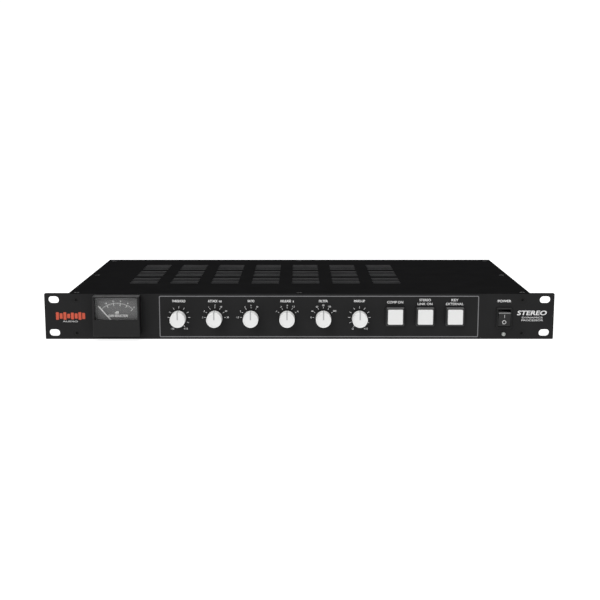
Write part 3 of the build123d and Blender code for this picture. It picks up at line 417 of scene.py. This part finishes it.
def paint_rocker_highlight(surfaces):
    """The rocker's upper end and bevel get a lighter, glossier copy of its black: a painted highlight for the
    light they catch from above.
    """

    def lit_from_above(face):
        return face.normal.z > UPWARD and face.center.y < PANEL_FACE

    dress_faces("power_rocker", surfaces["rocker_painted_highlight"], lit_from_above)


# ---------------------------------------------------------------- printing
INK_THICKNESS = 0.04 * MM
INK_SINK = 0.01 * MM
# Bold letters are copies of plain ones, moved by these shares of the extra weight and each printed
# INK_STEP higher than the last.
BOLD_PLACES = ((-0.5, -0.3), (0.5, 0.3), (-0.5, 0.3), (0.5, -0.3))
INK_STEP = 0.008 * MM
LEAST_RADIUS = 0.01 * MM
MERGE_DISTANCE = 0.001 * MM
CURVE_STEPS = 4


def piece_from(bm, name, material, body):
    """Makes an object of a bmesh and lets it ride on a body."""
    mesh = bpy.data.meshes.new(name)
    bm.to_mesh(mesh)
    bm.free()
    mesh.materials.append(material)
    obj = bpy.data.objects.new(name, mesh)
    bpy.context.scene.collection.objects.link(obj)
    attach(obj, body)
    return obj


def slab(bm, outline, y_back, y_front):
    """A flat print: outline points (x, z), anticlockwise from the front, made thick along Y."""
    back = [bm.verts.new((x, y_back, z)) for x, z in outline]
    front = [bm.verts.new((x, y_front, z)) for x, z in outline]
    bm.faces.new(front)
    bm.faces.new(list(reversed(back)))
    count = len(outline)
    for i in range(count):
        j = (i + 1) % count
        bm.faces.new((back[i], back[j], front[j], front[i]))


def ink_depth(y):
    """The back and the front of ink printed on a plane at y that faces the front."""
    return (y + INK_SINK, y - INK_THICKNESS)


def stroke(bm, start, end, width, y):
    """A straight printed line from start to end, both (x, z)."""
    a = Vector(start)
    b = Vector(end)
    side = Vector((-(b - a).y, (b - a).x)).normalized() * width / 2
    slab(bm, [a + side, a - side, b - side, b + side], *ink_depth(y))


def tick(bm, centre, angle, inner, outer, width, y):
    """A tick mark that points away from centre, angle degrees clockwise from straight up."""
    stroke(bm, beside(centre, angle, inner), beside(centre, angle, outer), width, y)


def rounded_outline(low, high, radius, steps=8):
    """Points (x, z) of a rounded rectangle, anticlockwise from its lower right corner."""
    corners = [
        (high[0] - radius, low[1] + radius, -90),
        (high[0] - radius, high[1] - radius, 0),
        (low[0] + radius, high[1] - radius, 90),
        (low[0] + radius, low[1] + radius, 180),
    ]
    points = []
    for x, z, start in corners:
        for step in range(steps + 1):
            angle = math.radians(start + 90 * step / steps)
            points.append(Vector((x + radius * math.cos(angle), z + radius * math.sin(angle))))
    return points


def ring(bm, low, high, radius, width, y):
    """A printed outline in the shape of a rounded rectangle."""
    outer = rounded_outline(low, high, radius)
    inset = Vector((width, width))
    inner = rounded_outline(Vector(low) + inset, Vector(high) - inset, max(radius - width, LEAST_RADIUS))
    count = len(outer)
    y_back, y_front = ink_depth(y)
    rows = [
        [bm.verts.new((p.x, depth, p.y)) for p in line]
        for line, depth in ((outer, y_back), (outer, y_front), (inner, y_front), (inner, y_back))
    ]
    for i in range(count):
        j = (i + 1) % count
        for k in range(4):
            first, second = rows[k], rows[(k + 1) % 4]
            bm.faces.new((first[i], first[j], second[j], second[i]))


def letters(words, height, width, slant):
    """A flat mesh of lettering in the XY plane, centred and height tall; no width keeps its shape."""
    curve = bpy.data.curves.new("letters", "FONT")
    curve.body = words
    curve.align_x = "CENTER"
    curve.size = 1.0
    curve.shear = slant
    curve.resolution_u = CURVE_STEPS
    holder = bpy.data.objects.new("letters", curve)
    bpy.context.scene.collection.objects.link(holder)
    graph = bpy.context.evaluated_depsgraph_get()
    mesh = bpy.data.meshes.new_from_object(holder.evaluated_get(graph))
    bpy.data.objects.remove(holder)
    bpy.data.curves.remove(curve)
    xs = [v.co.x for v in mesh.vertices]
    ys = [v.co.y for v in mesh.vertices]
    scale_y = height / (max(ys) - min(ys))
    scale_x = width / (max(xs) - min(xs)) if width else scale_y
    centre = Vector(((max(xs) + min(xs)) / 2, (max(ys) + min(ys)) / 2, 0))
    mesh.transform(Matrix.Diagonal((scale_x, scale_y, 1, 1)) @ Matrix.Translation(-centre))
    return mesh


def raised(flat, thickness):
    """A flat mesh that faces +Z made into a solid, with its vertices in the same order in every run."""
    plan = bmesh.new()
    plan.from_mesh(flat)
    bpy.data.meshes.remove(flat)
    bmesh.ops.remove_doubles(plan, verts=plan.verts, dist=MERGE_DISTANCE)
    plan.verts.index_update()
    solid = bmesh.new()
    lower = [solid.verts.new(v.co) for v in plan.verts]
    upper = [solid.verts.new(v.co + Vector((0, 0, thickness))) for v in plan.verts]
    for face in plan.faces:
        solid.faces.new([upper[v.index] for v in face.verts])
        solid.faces.new([lower[v.index] for v in reversed(face.verts)])
    for edge in plan.edges:
        if len(edge.link_loops) == 1:
            loop = edge.link_loops[0]
            a, b = loop.vert.index, loop.link_loop_next.vert.index
            solid.faces.new((lower[a], lower[b], upper[b], upper[a]))
    plan.free()
    mesh = bpy.data.meshes.new("raised")
    solid.to_mesh(mesh)
    solid.free()
    return mesh


def print_words(bm, words, centre, height, y, weight, width=None, facing=-1, slant=0.0):
    """Adds raised lettering at centre (x, z) on the plane at y, its strokes weight wider than plain.

    facing is -1 on a plane that faces the front and 1 on one that faces the back."""
    text = raised(letters(words, height, width, slant), INK_THICKNESS + INK_SINK)
    stand = Matrix.Rotation(math.pi / 2, 4, "X")
    if facing > 0:
        stand = Matrix.Rotation(math.pi, 4, "Z") @ stand
    for layer, (across, up) in enumerate(BOLD_PLACES):
        depth = y - facing * INK_SINK + facing * INK_STEP * layer
        place = Matrix.Translation((centre[0] + across * weight, depth, centre[1] + up * weight))
        copy = text.copy()
        copy.transform(place @ stand)
        bm.from_mesh(copy)
        bpy.data.meshes.remove(copy)
    bpy.data.meshes.remove(text)


def new_print(name, material, draw, body="chassis"):
    """A printed layer: draw fills the bmesh, and the result rides on a body."""
    bm = bmesh.new()
    draw(bm)
    piece_from(bm, name, material, body)


# ---------------------------------------------------------------- the front panel
NUMBER_WEIGHT = 0.06 * MM
LABEL_Z = 14.7 * MM
LABEL_HEIGHT = 2.2 * MM
LABEL_WEIGHT = 0.16 * MM
# The wording over each knob and its width.
KNOB_LABELS = (
    ("THRESHOLD", 12.6 * MM), ("ATTACK  ms", 12.8 * MM), ("RATIO", 6.2 * MM),
    ("RELEASE  s", 12.4 * MM), ("FILTER", 8.2 * MM), ("MAKE-UP", 10.2 * MM),
)
# The lines over each button: the wording, its width and its height over the panel's middle.
BUTTON_LABELS = (
    (("COMP ON", 15.0 * MM, 13.6 * MM),),
    (("STEREO", 10.7 * MM, 15.7 * MM), ("LINK ON", 14.0 * MM, 11.9 * MM)),
    (("KEY", 6.4 * MM, 15.7 * MM), ("EXTERNAL", 16.6 * MM, 11.9 * MM)),
)
POWER_LABEL_WIDTH = 12.5 * MM

TICK_WIDTH = 0.4 * MM
# Knobs 1 and 6 turn freely over eleven ticks, and only the ends have numbers.
POT_TICKS = [-150 + 30 * step for step in range(11)]
POT_TICK_REACH = (8.6 * MM, 10.7 * MM)
POT_END_ANGLE = 150
POT_END_RADIUS = 12.6 * MM
POT_END_HEIGHT = 1.7 * MM
POT_ENDS = {0: ("-15", "+15"), 5: ("-5", "+15")}
# The others are switches: the angle of the first mark, and the marks, one every 30 degrees.
SWITCH_MARKS = {
    1: (-90, (".1", ".3", "1", "3", "10", "20", "30")),
    2: (-90, ("1.5", "2", "4", "6", "10")),
    3: (-60, (".1", ".3", ".6", "1.2", "A")),
    4: (-90, ("0", "40", "60", "90", "120", "200")),
}
SWITCH_STEP = 30
SWITCH_TICK_REACH = (8.7 * MM, 10.1 * MM)
SWITCH_NUMBER_RADIUS = 11.6 * MM
SWITCH_NUMBER_HEIGHT = 1.5 * MM
# A number at the side moves out by this much for each figure after the first.
FIGURE_ROOM = 0.45 * MM

TITLE_X = panel_high.x - 21.0 * MM
TITLE_Z = 3.3 * MM
TITLE_HEIGHT = 4.2 * MM
TITLE_WIDTH = 27.8 * MM
TITLE_WEIGHT = 0.34 * MM
TITLE_SLANT = 0.18
# The small lines: the wording, its centre (x, z), its height and its width.
SMALL_WORDS = (
    ("DYNAMICS", (TITLE_X + 0.5 * MM, -1.2 * MM), 1.5 * MM, 19.5 * MM),
    ("PROCESSOR", (TITLE_X + 0.5 * MM, -3.8 * MM), 1.6 * MM, 20.4 * MM),
    ("AUDIO", (panel_low.x + 24.0 * MM, -4.9 * MM), 1.3 * MM, 14.3 * MM),
)
SMALL_WEIGHT = 0.12 * MM

FRAME_LOW = (-132.8 * MM, -20.1 * MM)
FRAME_HIGH = (169.9 * MM, 19.75 * MM)
FRAME_RADIUS = 1.2 * MM
FRAME_WIDTH = 0.85 * MM

# The bars' heights in millimetres, from the left.
BAR_HEIGHTS = (7.2, 5.2, 7.2, 4.2, 6.4, 5.0, 7.2, 5.8)
BARS_LEFT = panel_low.x + 10.6 * MM
BARS_MIDDLE = 0.35 * MM
BAR_PITCH = 3.55 * MM
BAR_WIDTH = 2.75 * MM
BAR_RADIUS = 0.5 * MM
BAR_CORNER_STEPS = 3


def draw_scales(bm):
    """The tick marks and the numbers round the six knobs."""
    for index, centre in enumerate(KNOB_CENTRES):
        if index in POT_ENDS:
            for angle in POT_TICKS:
                tick(bm, centre, angle, *POT_TICK_REACH, TICK_WIDTH, PANEL_FACE)
            for side, words in zip((-1, 1), POT_ENDS[index]):
                place = beside(centre, side * POT_END_ANGLE, POT_END_RADIUS)
                print_words(bm, words, place, POT_END_HEIGHT, PANEL_FACE, NUMBER_WEIGHT)
            continue
        first, marks = SWITCH_MARKS[index]
        for step, words in enumerate(marks):
            angle = first + SWITCH_STEP * step
            tick(bm, centre, angle, *SWITCH_TICK_REACH, TICK_WIDTH, PANEL_FACE)
            room = FIGURE_ROOM * (len(words) - 1) * abs(math.sin(math.radians(angle)))
            place = beside(centre, angle, SWITCH_NUMBER_RADIUS + room)
            print_words(bm, words, place, SWITCH_NUMBER_HEIGHT, PANEL_FACE, NUMBER_WEIGHT)


def draw_labels(bm):
    """The names over the controls, and the title."""
    for centre, (words, width) in zip(KNOB_CENTRES, KNOB_LABELS):
        place = (centre.x, LABEL_Z)
        print_words(bm, words, place, LABEL_HEIGHT, PANEL_FACE, LABEL_WEIGHT, width)
    for box, lines in zip(BUTTON_BOXES, BUTTON_LABELS):
        for words, width, z in lines:
            place = (middle(box).x, z)
            print_words(bm, words, place, LABEL_HEIGHT, PANEL_FACE, LABEL_WEIGHT, width)
    place = (ROCKER_PIVOT.x, LABEL_Z)
    print_words(bm, "POWER", place, LABEL_HEIGHT, PANEL_FACE, LABEL_WEIGHT, POWER_LABEL_WIDTH)
    place = (TITLE_X, TITLE_Z)
    print_words(bm, "STEREO", place, TITLE_HEIGHT, PANEL_FACE, TITLE_WEIGHT, TITLE_WIDTH, slant=TITLE_SLANT)


def draw_small_words(bm):
    """The two small lines under the title and the word under the red bars."""
    for words, place, height, width in SMALL_WORDS:
        print_words(bm, words, place, height, PANEL_FACE, SMALL_WEIGHT, width)


def draw_frame_line(bm):
    """The thin line round the knobs and buttons."""
    ring(bm, FRAME_LOW, FRAME_HIGH, FRAME_RADIUS, FRAME_WIDTH, PANEL_FACE)


def draw_level_bars(bm):
    """A row of plain upright bars, like a level display."""
    for index, height in enumerate(BAR_HEIGHTS):
        x = BARS_LEFT + index * BAR_PITCH
        low = (x, BARS_MIDDLE - height / 2 * MM)
        high = (x + BAR_WIDTH, BARS_MIDDLE + height / 2 * MM)
        slab(bm, rounded_outline(low, high, BAR_RADIUS, BAR_CORNER_STEPS), *ink_depth(PANEL_FACE))


def print_panel(surfaces):
    """Everything printed on the front panel."""
    new_print("panel_scales", surfaces["ink_white"], draw_scales)
    new_print("panel_labels", surfaces["ink_white"], draw_labels)
    new_print("panel_small_words", surfaces["ink_soft"], draw_small_words)
    new_print("panel_frame_line", surfaces["ink_grey"], draw_frame_line)
    new_print("panel_level_bars", surfaces["ink_red"], draw_level_bars)


# ---------------------------------------------------------------- the meter, the switch and the knobs
DIAL_ANGLES = (-41, -24.6, -8.2, 8.2, 24.6, 41)
DIAL_NUMBERS = ("20", "16", "12", "8", "4", "0")
DIAL_RADIUS = 22.6 * MM
DIAL_LINE = 0.18 * MM
DIAL_STEPS = 25
DIAL_MAJOR_EVERY = 5
# The length and width of the ticks with a number and of those between them.
MAJOR_TICK = (2.6 * MM, 0.5 * MM)
MINOR_TICK = (1.0 * MM, 0.2 * MM)
DIAL_NUMBER_GAP = 1.9 * MM
DIAL_NUMBER_HEIGHT = 1.5 * MM
# The wording: its place to the right of the pivot and over the panel's middle, height and width.
DIAL_WORDS = (
    ("dB", -0.2 * MM, 4.6 * MM, 2.2 * MM, 3.6 * MM),
    ("GAIN REDUCTION", 0.9 * MM, 1.4 * MM, 2.3 * MM, 18.0 * MM),
)
DIAL_WORD_WEIGHT = 0.3 * MM


def print_dial(surfaces):
    """The meter's scale: a thin arc with ticks inside it, numbers outside it and the unit."""
    dial_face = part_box("meter_dial")[0].y
    first = DIAL_ANGLES[0]
    pitch = (DIAL_ANGLES[-1] - first) / DIAL_STEPS

    def draw(bm):
        for step in range(DIAL_STEPS + 1):
            length, width = MINOR_TICK if step % DIAL_MAJOR_EVERY else MAJOR_TICK
            angle = first + pitch * step
            tick(bm, NEEDLE_PIVOT, angle, DIAL_RADIUS - length, DIAL_RADIUS, width, dial_face)
        for step in range(DIAL_STEPS):
            start = beside(NEEDLE_PIVOT, first + pitch * step, DIAL_RADIUS)
            end = beside(NEEDLE_PIVOT, first + pitch * (step + 1), DIAL_RADIUS)
            stroke(bm, start, end, DIAL_LINE, dial_face)
        for angle, words in zip(DIAL_ANGLES, DIAL_NUMBERS):
            place = beside(NEEDLE_PIVOT, angle, DIAL_RADIUS + DIAL_NUMBER_GAP)
            print_words(bm, words, place, DIAL_NUMBER_HEIGHT, dial_face, NUMBER_WEIGHT)
        for words, across, z, height, width in DIAL_WORDS:
            place = (NEEDLE_PIVOT.x + across, z)
            print_words(bm, words, place, height, dial_face, DIAL_WORD_WEIGHT, width)

    new_print("dial_scale", surfaces["ink_dial"], draw)


def front_of(node, x, z):
    """The y of a node's surface, looking along +Y at (x, z)."""
    hit, place, _, _ = nodes[node].ray_cast(Vector((x, -1.0, z)), Vector((0, 1, 0)))
    if not hit:
        raise ValueError(f"nothing of {node} at ({x}, {z})")
    return place.y


def press_onto(bm, node):
    """Moves a print drawn on the plane y = 0 onto a node's front surface."""
    for vert in bm.verts:
        vert.co.y += front_of(node, vert.co.x, vert.co.z)


ON_Z = 0.6 * MM
ON_HALF = 1.5 * MM
ON_WIDTH = 0.45 * MM
OFF_Z = -5.3 * MM
OFF_RADIUS = 1.9 * MM
OFF_WIDTH = 0.55 * MM


def print_rocker(surfaces):
    """The on and off marks on the power switch's two halves."""
    x = ROCKER_PIVOT.x

    def draw(bm):
        stroke(bm, (x, ON_Z - ON_HALF), (x, ON_Z + ON_HALF), ON_WIDTH, 0.0)
        corner = Vector((OFF_RADIUS, OFF_RADIUS))
        centre = Vector((x, OFF_Z))
        ring(bm, centre - corner, centre + corner, OFF_RADIUS, OFF_WIDTH, 0.0)
        press_onto(bm, "power_rocker")

    new_print("rocker_marks", surfaces["ink_soft"], draw, "rocker")


KNOB_DISH = 0.45 * MM
GROOVE_DEPTH = 0.25 * MM
GROOVE_SHADOW = 0.04 * MM
INLAY_HALF = 0.58 * MM
INLAY_START = 0.1 * MM
INLAY_END = 0.9 * MM


def fit_pointers(surfaces):
    """A grey inlay in the groove of each knob's face and side."""
    for index, centre in enumerate(KNOB_CENTRES, start=1):
        low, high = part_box(f"knob_{index}")
        radius = (high.x - low.x) / 2
        face = low.y + KNOB_DISH
        top = centre.z + radius - GROOVE_SHADOW
        floor = centre.z + radius - GROOVE_DEPTH
        bottom = centre.z + INLAY_START
        left, right = centre.x - INLAY_HALF, centre.x + INLAY_HALF

        def draw(bm):
            outline = [(right, top), (left, top), (left, bottom), (right, bottom)]
            slab(bm, outline, face + GROOVE_DEPTH, face + GROOVE_SHADOW)
            side = [(right, top), (left, top), (left, floor), (right, floor)]
            slab(bm, side, high.y - INLAY_END, face + GROOVE_DEPTH)

        new_print(f"knob_{index}_pointer", surfaces["ink_pointer"], draw, f"knob_{index}")


# ---------------------------------------------------------------- springs
SPRING_WIRE = 0.28 * MM
SPRING_TURNS = 5.0
SPRING_END_TURNS = 1.0
POINTS_PER_TURN = 28
WIRE_SIDES = 10


def coil_points(centre, radius, y_start, y_end):
    """The centre line of a compression spring with a closed turn at each end."""
    closed = 2 * SPRING_WIRE
    total = SPRING_TURNS + 2 * SPRING_END_TURNS
    count = int(total * POINTS_PER_TURN)
    points = []
    for step in range(count + 1):
        turn = total * step / count
        if turn < SPRING_END_TURNS:
            y = y_start + closed * turn / SPRING_END_TURNS
        elif turn > total - SPRING_END_TURNS:
            y = y_end - closed * (total - turn) / SPRING_END_TURNS
        else:
            share = (turn - SPRING_END_TURNS) / SPRING_TURNS
            y = y_start + closed + share * (y_end - y_start - 2 * closed)
        angle = math.tau * turn
        points.append(Vector((centre.x + radius * math.cos(angle), y, centre.z + radius * math.sin(angle))))
    return points


def wire_along(bm, points, radius):
    """A round wire along points, with flat ends."""
    rings = []
    for index, point in enumerate(points):
        before = points[max(index - 1, 0)]
        after = points[min(index + 1, len(points) - 1)]
        along = (after - before).normalized()
        across = along.cross(Vector((0, 1, 0))).normalized()
        other = across.cross(along)
        rings.append([
            bm.verts.new(point + radius * (math.cos(a) * across + math.sin(a) * other))
            for a in (math.tau * side / WIRE_SIDES for side in range(WIRE_SIDES))
        ])
    for first, second in zip(rings, rings[1:]):
        for i in range(WIRE_SIDES):
            j = (i + 1) % WIRE_SIDES
            bm.faces.new((first[i], first[j], second[j], second[i]))
    bm.faces.new(rings[0])
    bm.faces.new(list(reversed(rings[-1])))
    bmesh.ops.recalc_face_normals(bm, faces=bm.faces)
    for face in bm.faces:
        face.smooth = len(face.verts) == 4


def fit_springs(surfaces):
    """Wound springs behind the push buttons, in place of the hidden CAD springs."""
    for index in range(1, 4):
        node = f"button_spring_{index}"
        low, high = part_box(node)
        centre = middle((low, high))
        radius = (high.x - low.x) / 2 - SPRING_WIRE
        bm = bmesh.new()
        wire_along(bm, coil_points(centre, radius, low.y + SPRING_WIRE, high.y - SPRING_WIRE), SPRING_WIRE)
        spring = piece_from(bm, f"button_{index}_coil", surfaces["spring_steel"], "chassis")
        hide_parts(node)
        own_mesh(spring)


# ---------------------------------------------------------------- the rear panel
# The node under each label, and the wording.
REAR_LABELS = (
    ("input_sockets", "INPUTS"), ("output_sockets", "OUTPUTS"),
    ("sidechain_jacks", "SIDE CHAIN"), ("mains_inlet", "MAINS"),
)
REAR_LABEL_Z = 17.4 * MM
REAR_LABEL_HEIGHT = 2.8 * MM
CHANNELS = {"left": "1", "right": "2"}
CHANNEL_Z = -18.0 * MM
CHANNEL_HEIGHT = 2.2 * MM
REAR_WEIGHT = 0.1 * MM


def print_rear(surfaces):
    """Names over the connectors at the back, and the channel numbers under them."""

    def draw(bm):
        for node, words in REAR_LABELS:
            place = (middle(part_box(node)).x, REAR_LABEL_Z)
            print_words(bm, words, place, REAR_LABEL_HEIGHT, REAR_FACE, REAR_WEIGHT, facing=1)
        for mount in frame["record"]["mounts"]:
            number = CHANNELS.get(mount["name"].split("_")[-1])
            if number:
                place = (mount["pos_m"][0], CHANNEL_Z)
                print_words(bm, number, place, CHANNEL_HEIGHT, REAR_FACE, REAR_WEIGHT, facing=1)

    new_print("rear_labels", surfaces["ink_white"], draw)


# ---------------------------------------------------------------- floor, lights and camera
FLOOR_HALF = 30.0
FLOOR_GLOW = 0.9


def make_stage():
    """A wide pale floor at the panel's lower edge; most of its light is its own, so it stays even."""
    bm = bmesh.new()
    bmesh.ops.create_grid(bm, x_segments=1, y_segments=1, size=FLOOR_HALF)
    mesh = bpy.data.meshes.new("floor")
    bm.to_mesh(mesh)
    bm.free()
    floor = bpy.data.objects.new("floor", mesh)
    floor.location = (0, 0, cad_bounds[0].z)
    bpy.context.scene.collection.objects.link(floor)
    surface = grained("floor_white", (0.3, 0.3, 0.3), 0.9, vary=0.004, grain=60.0, depth=0.1 * MM,
                      strength=0.02, specular=0.1)
    inputs = principled(surface).inputs
    inputs["Emission Color"].default_value = (1, 1, 1, 1)
    inputs["Emission Strength"].default_value = FLOOR_GLOW
    mesh.materials.append(surface)


def hang_light(name, light, place, target=(0, 0, 0)):
    """Puts a light at a place and turns it to its target."""
    obj = bpy.data.objects.new(name, light)
    obj.location = place
    obj.rotation_mode = "QUATERNION"
    obj.rotation_quaternion = (Vector(target) - Vector(place)).to_track_quat("-Z", "Y")
    bpy.context.scene.collection.objects.link(obj)


def area_light(name, place, size, power):
    """A rectangular soft light that shines at the object."""
    light = bpy.data.lights.new(name, "AREA")
    light.shape = "RECTANGLE"
    light.size, light.size_y = size
    light.energy = power
    hang_light(name, light, place)


def sun_light(name, azimuth, elevation, angle, strength):
    """A very distant soft light; azimuth 0 shines along +Y, and elevation is above the horizon."""
    light = bpy.data.lights.new(name, "SUN")
    light.angle = math.radians(angle)
    light.energy = strength
    turn, lift = math.radians(azimuth), math.radians(elevation)
    place = (math.sin(turn) * math.cos(lift), -math.cos(turn) * math.cos(lift), math.sin(lift))
    hang_light(name, light, place)


# The brightness of the surround, from the horizon's to the sky's between two heights of view.
SKY = {"From_Min": 0.11, "From_Max": 0.24, "To_Min": 1.05, "To_Max": 0.25}


def light_scene():
    """A bright horizon under a dimmer sky, a soft key from the front left and softboxes overhead."""
    world = bpy.data.worlds.new("surround")
    world.use_nodes = True
    background = world.node_tree.nodes["Background"]
    background.inputs["Strength"].default_value = 1.0
    split = add_node(world, "ShaderNodeSeparateXYZ")
    link(world, add_node(world, "ShaderNodeTexCoord").outputs["Generated"], split.inputs["Vector"])
    sky = add_node(world, "ShaderNodeMapRange", **SKY)
    sky.interpolation_type = "SMOOTHSTEP"
    link(world, split.outputs["Z"], sky.inputs["Value"])
    link(world, sky.outputs["Result"], background.inputs["Color"])
    bpy.context.scene.world = world
    sun_light("key", azimuth=-25, elevation=32, angle=35, strength=1.35)
    area_light("softbox", place=(0, -0.03, 1.1), size=(1.5, 0.7), power=12.5)
    area_light("back softbox", place=(0, 1.2, 1.05), size=(1.5, 0.3), power=6.0)


CAMERA_PLACE = (0.6 * MM, -1012.8 * MM, 195.25 * MM)
CAMERA_PITCH = 10.08
FOCAL_PIXELS = 1084.9
IMAGE_PIXELS = 600
SENSOR_WIDTH = 36.0


def place_camera():
    """The photograph's view: from the front, a little to the right of the middle and looking down."""
    data = bpy.data.cameras.new("camera")
    data.sensor_width = SENSOR_WIDTH
    data.lens = FOCAL_PIXELS / IMAGE_PIXELS * SENSOR_WIDTH
    data.clip_start = 0.05
    data.clip_end = 100.0
    camera = bpy.data.objects.new("camera", data)
    camera.location = CAMERA_PLACE
    camera.rotation_euler = (math.radians(90 - CAMERA_PITCH), 0, 0)
    bpy.context.scene.collection.objects.link(camera)
    bpy.context.scene.camera = camera


surfaces = make_materials()
dress_cad(surfaces)
shade_panel_top(surfaces)
dress_cover_slots(surfaces)
paint_rocker_highlight(surfaces)
print_panel(surfaces)
print_dial(surfaces)
print_rocker(surfaces)
fit_pointers(surfaces)
fit_springs(surfaces)
print_rear(surfaces)
make_stage()
light_scene()
place_camera()
bpy.context.scene.view_settings.view_transform = "Standard"
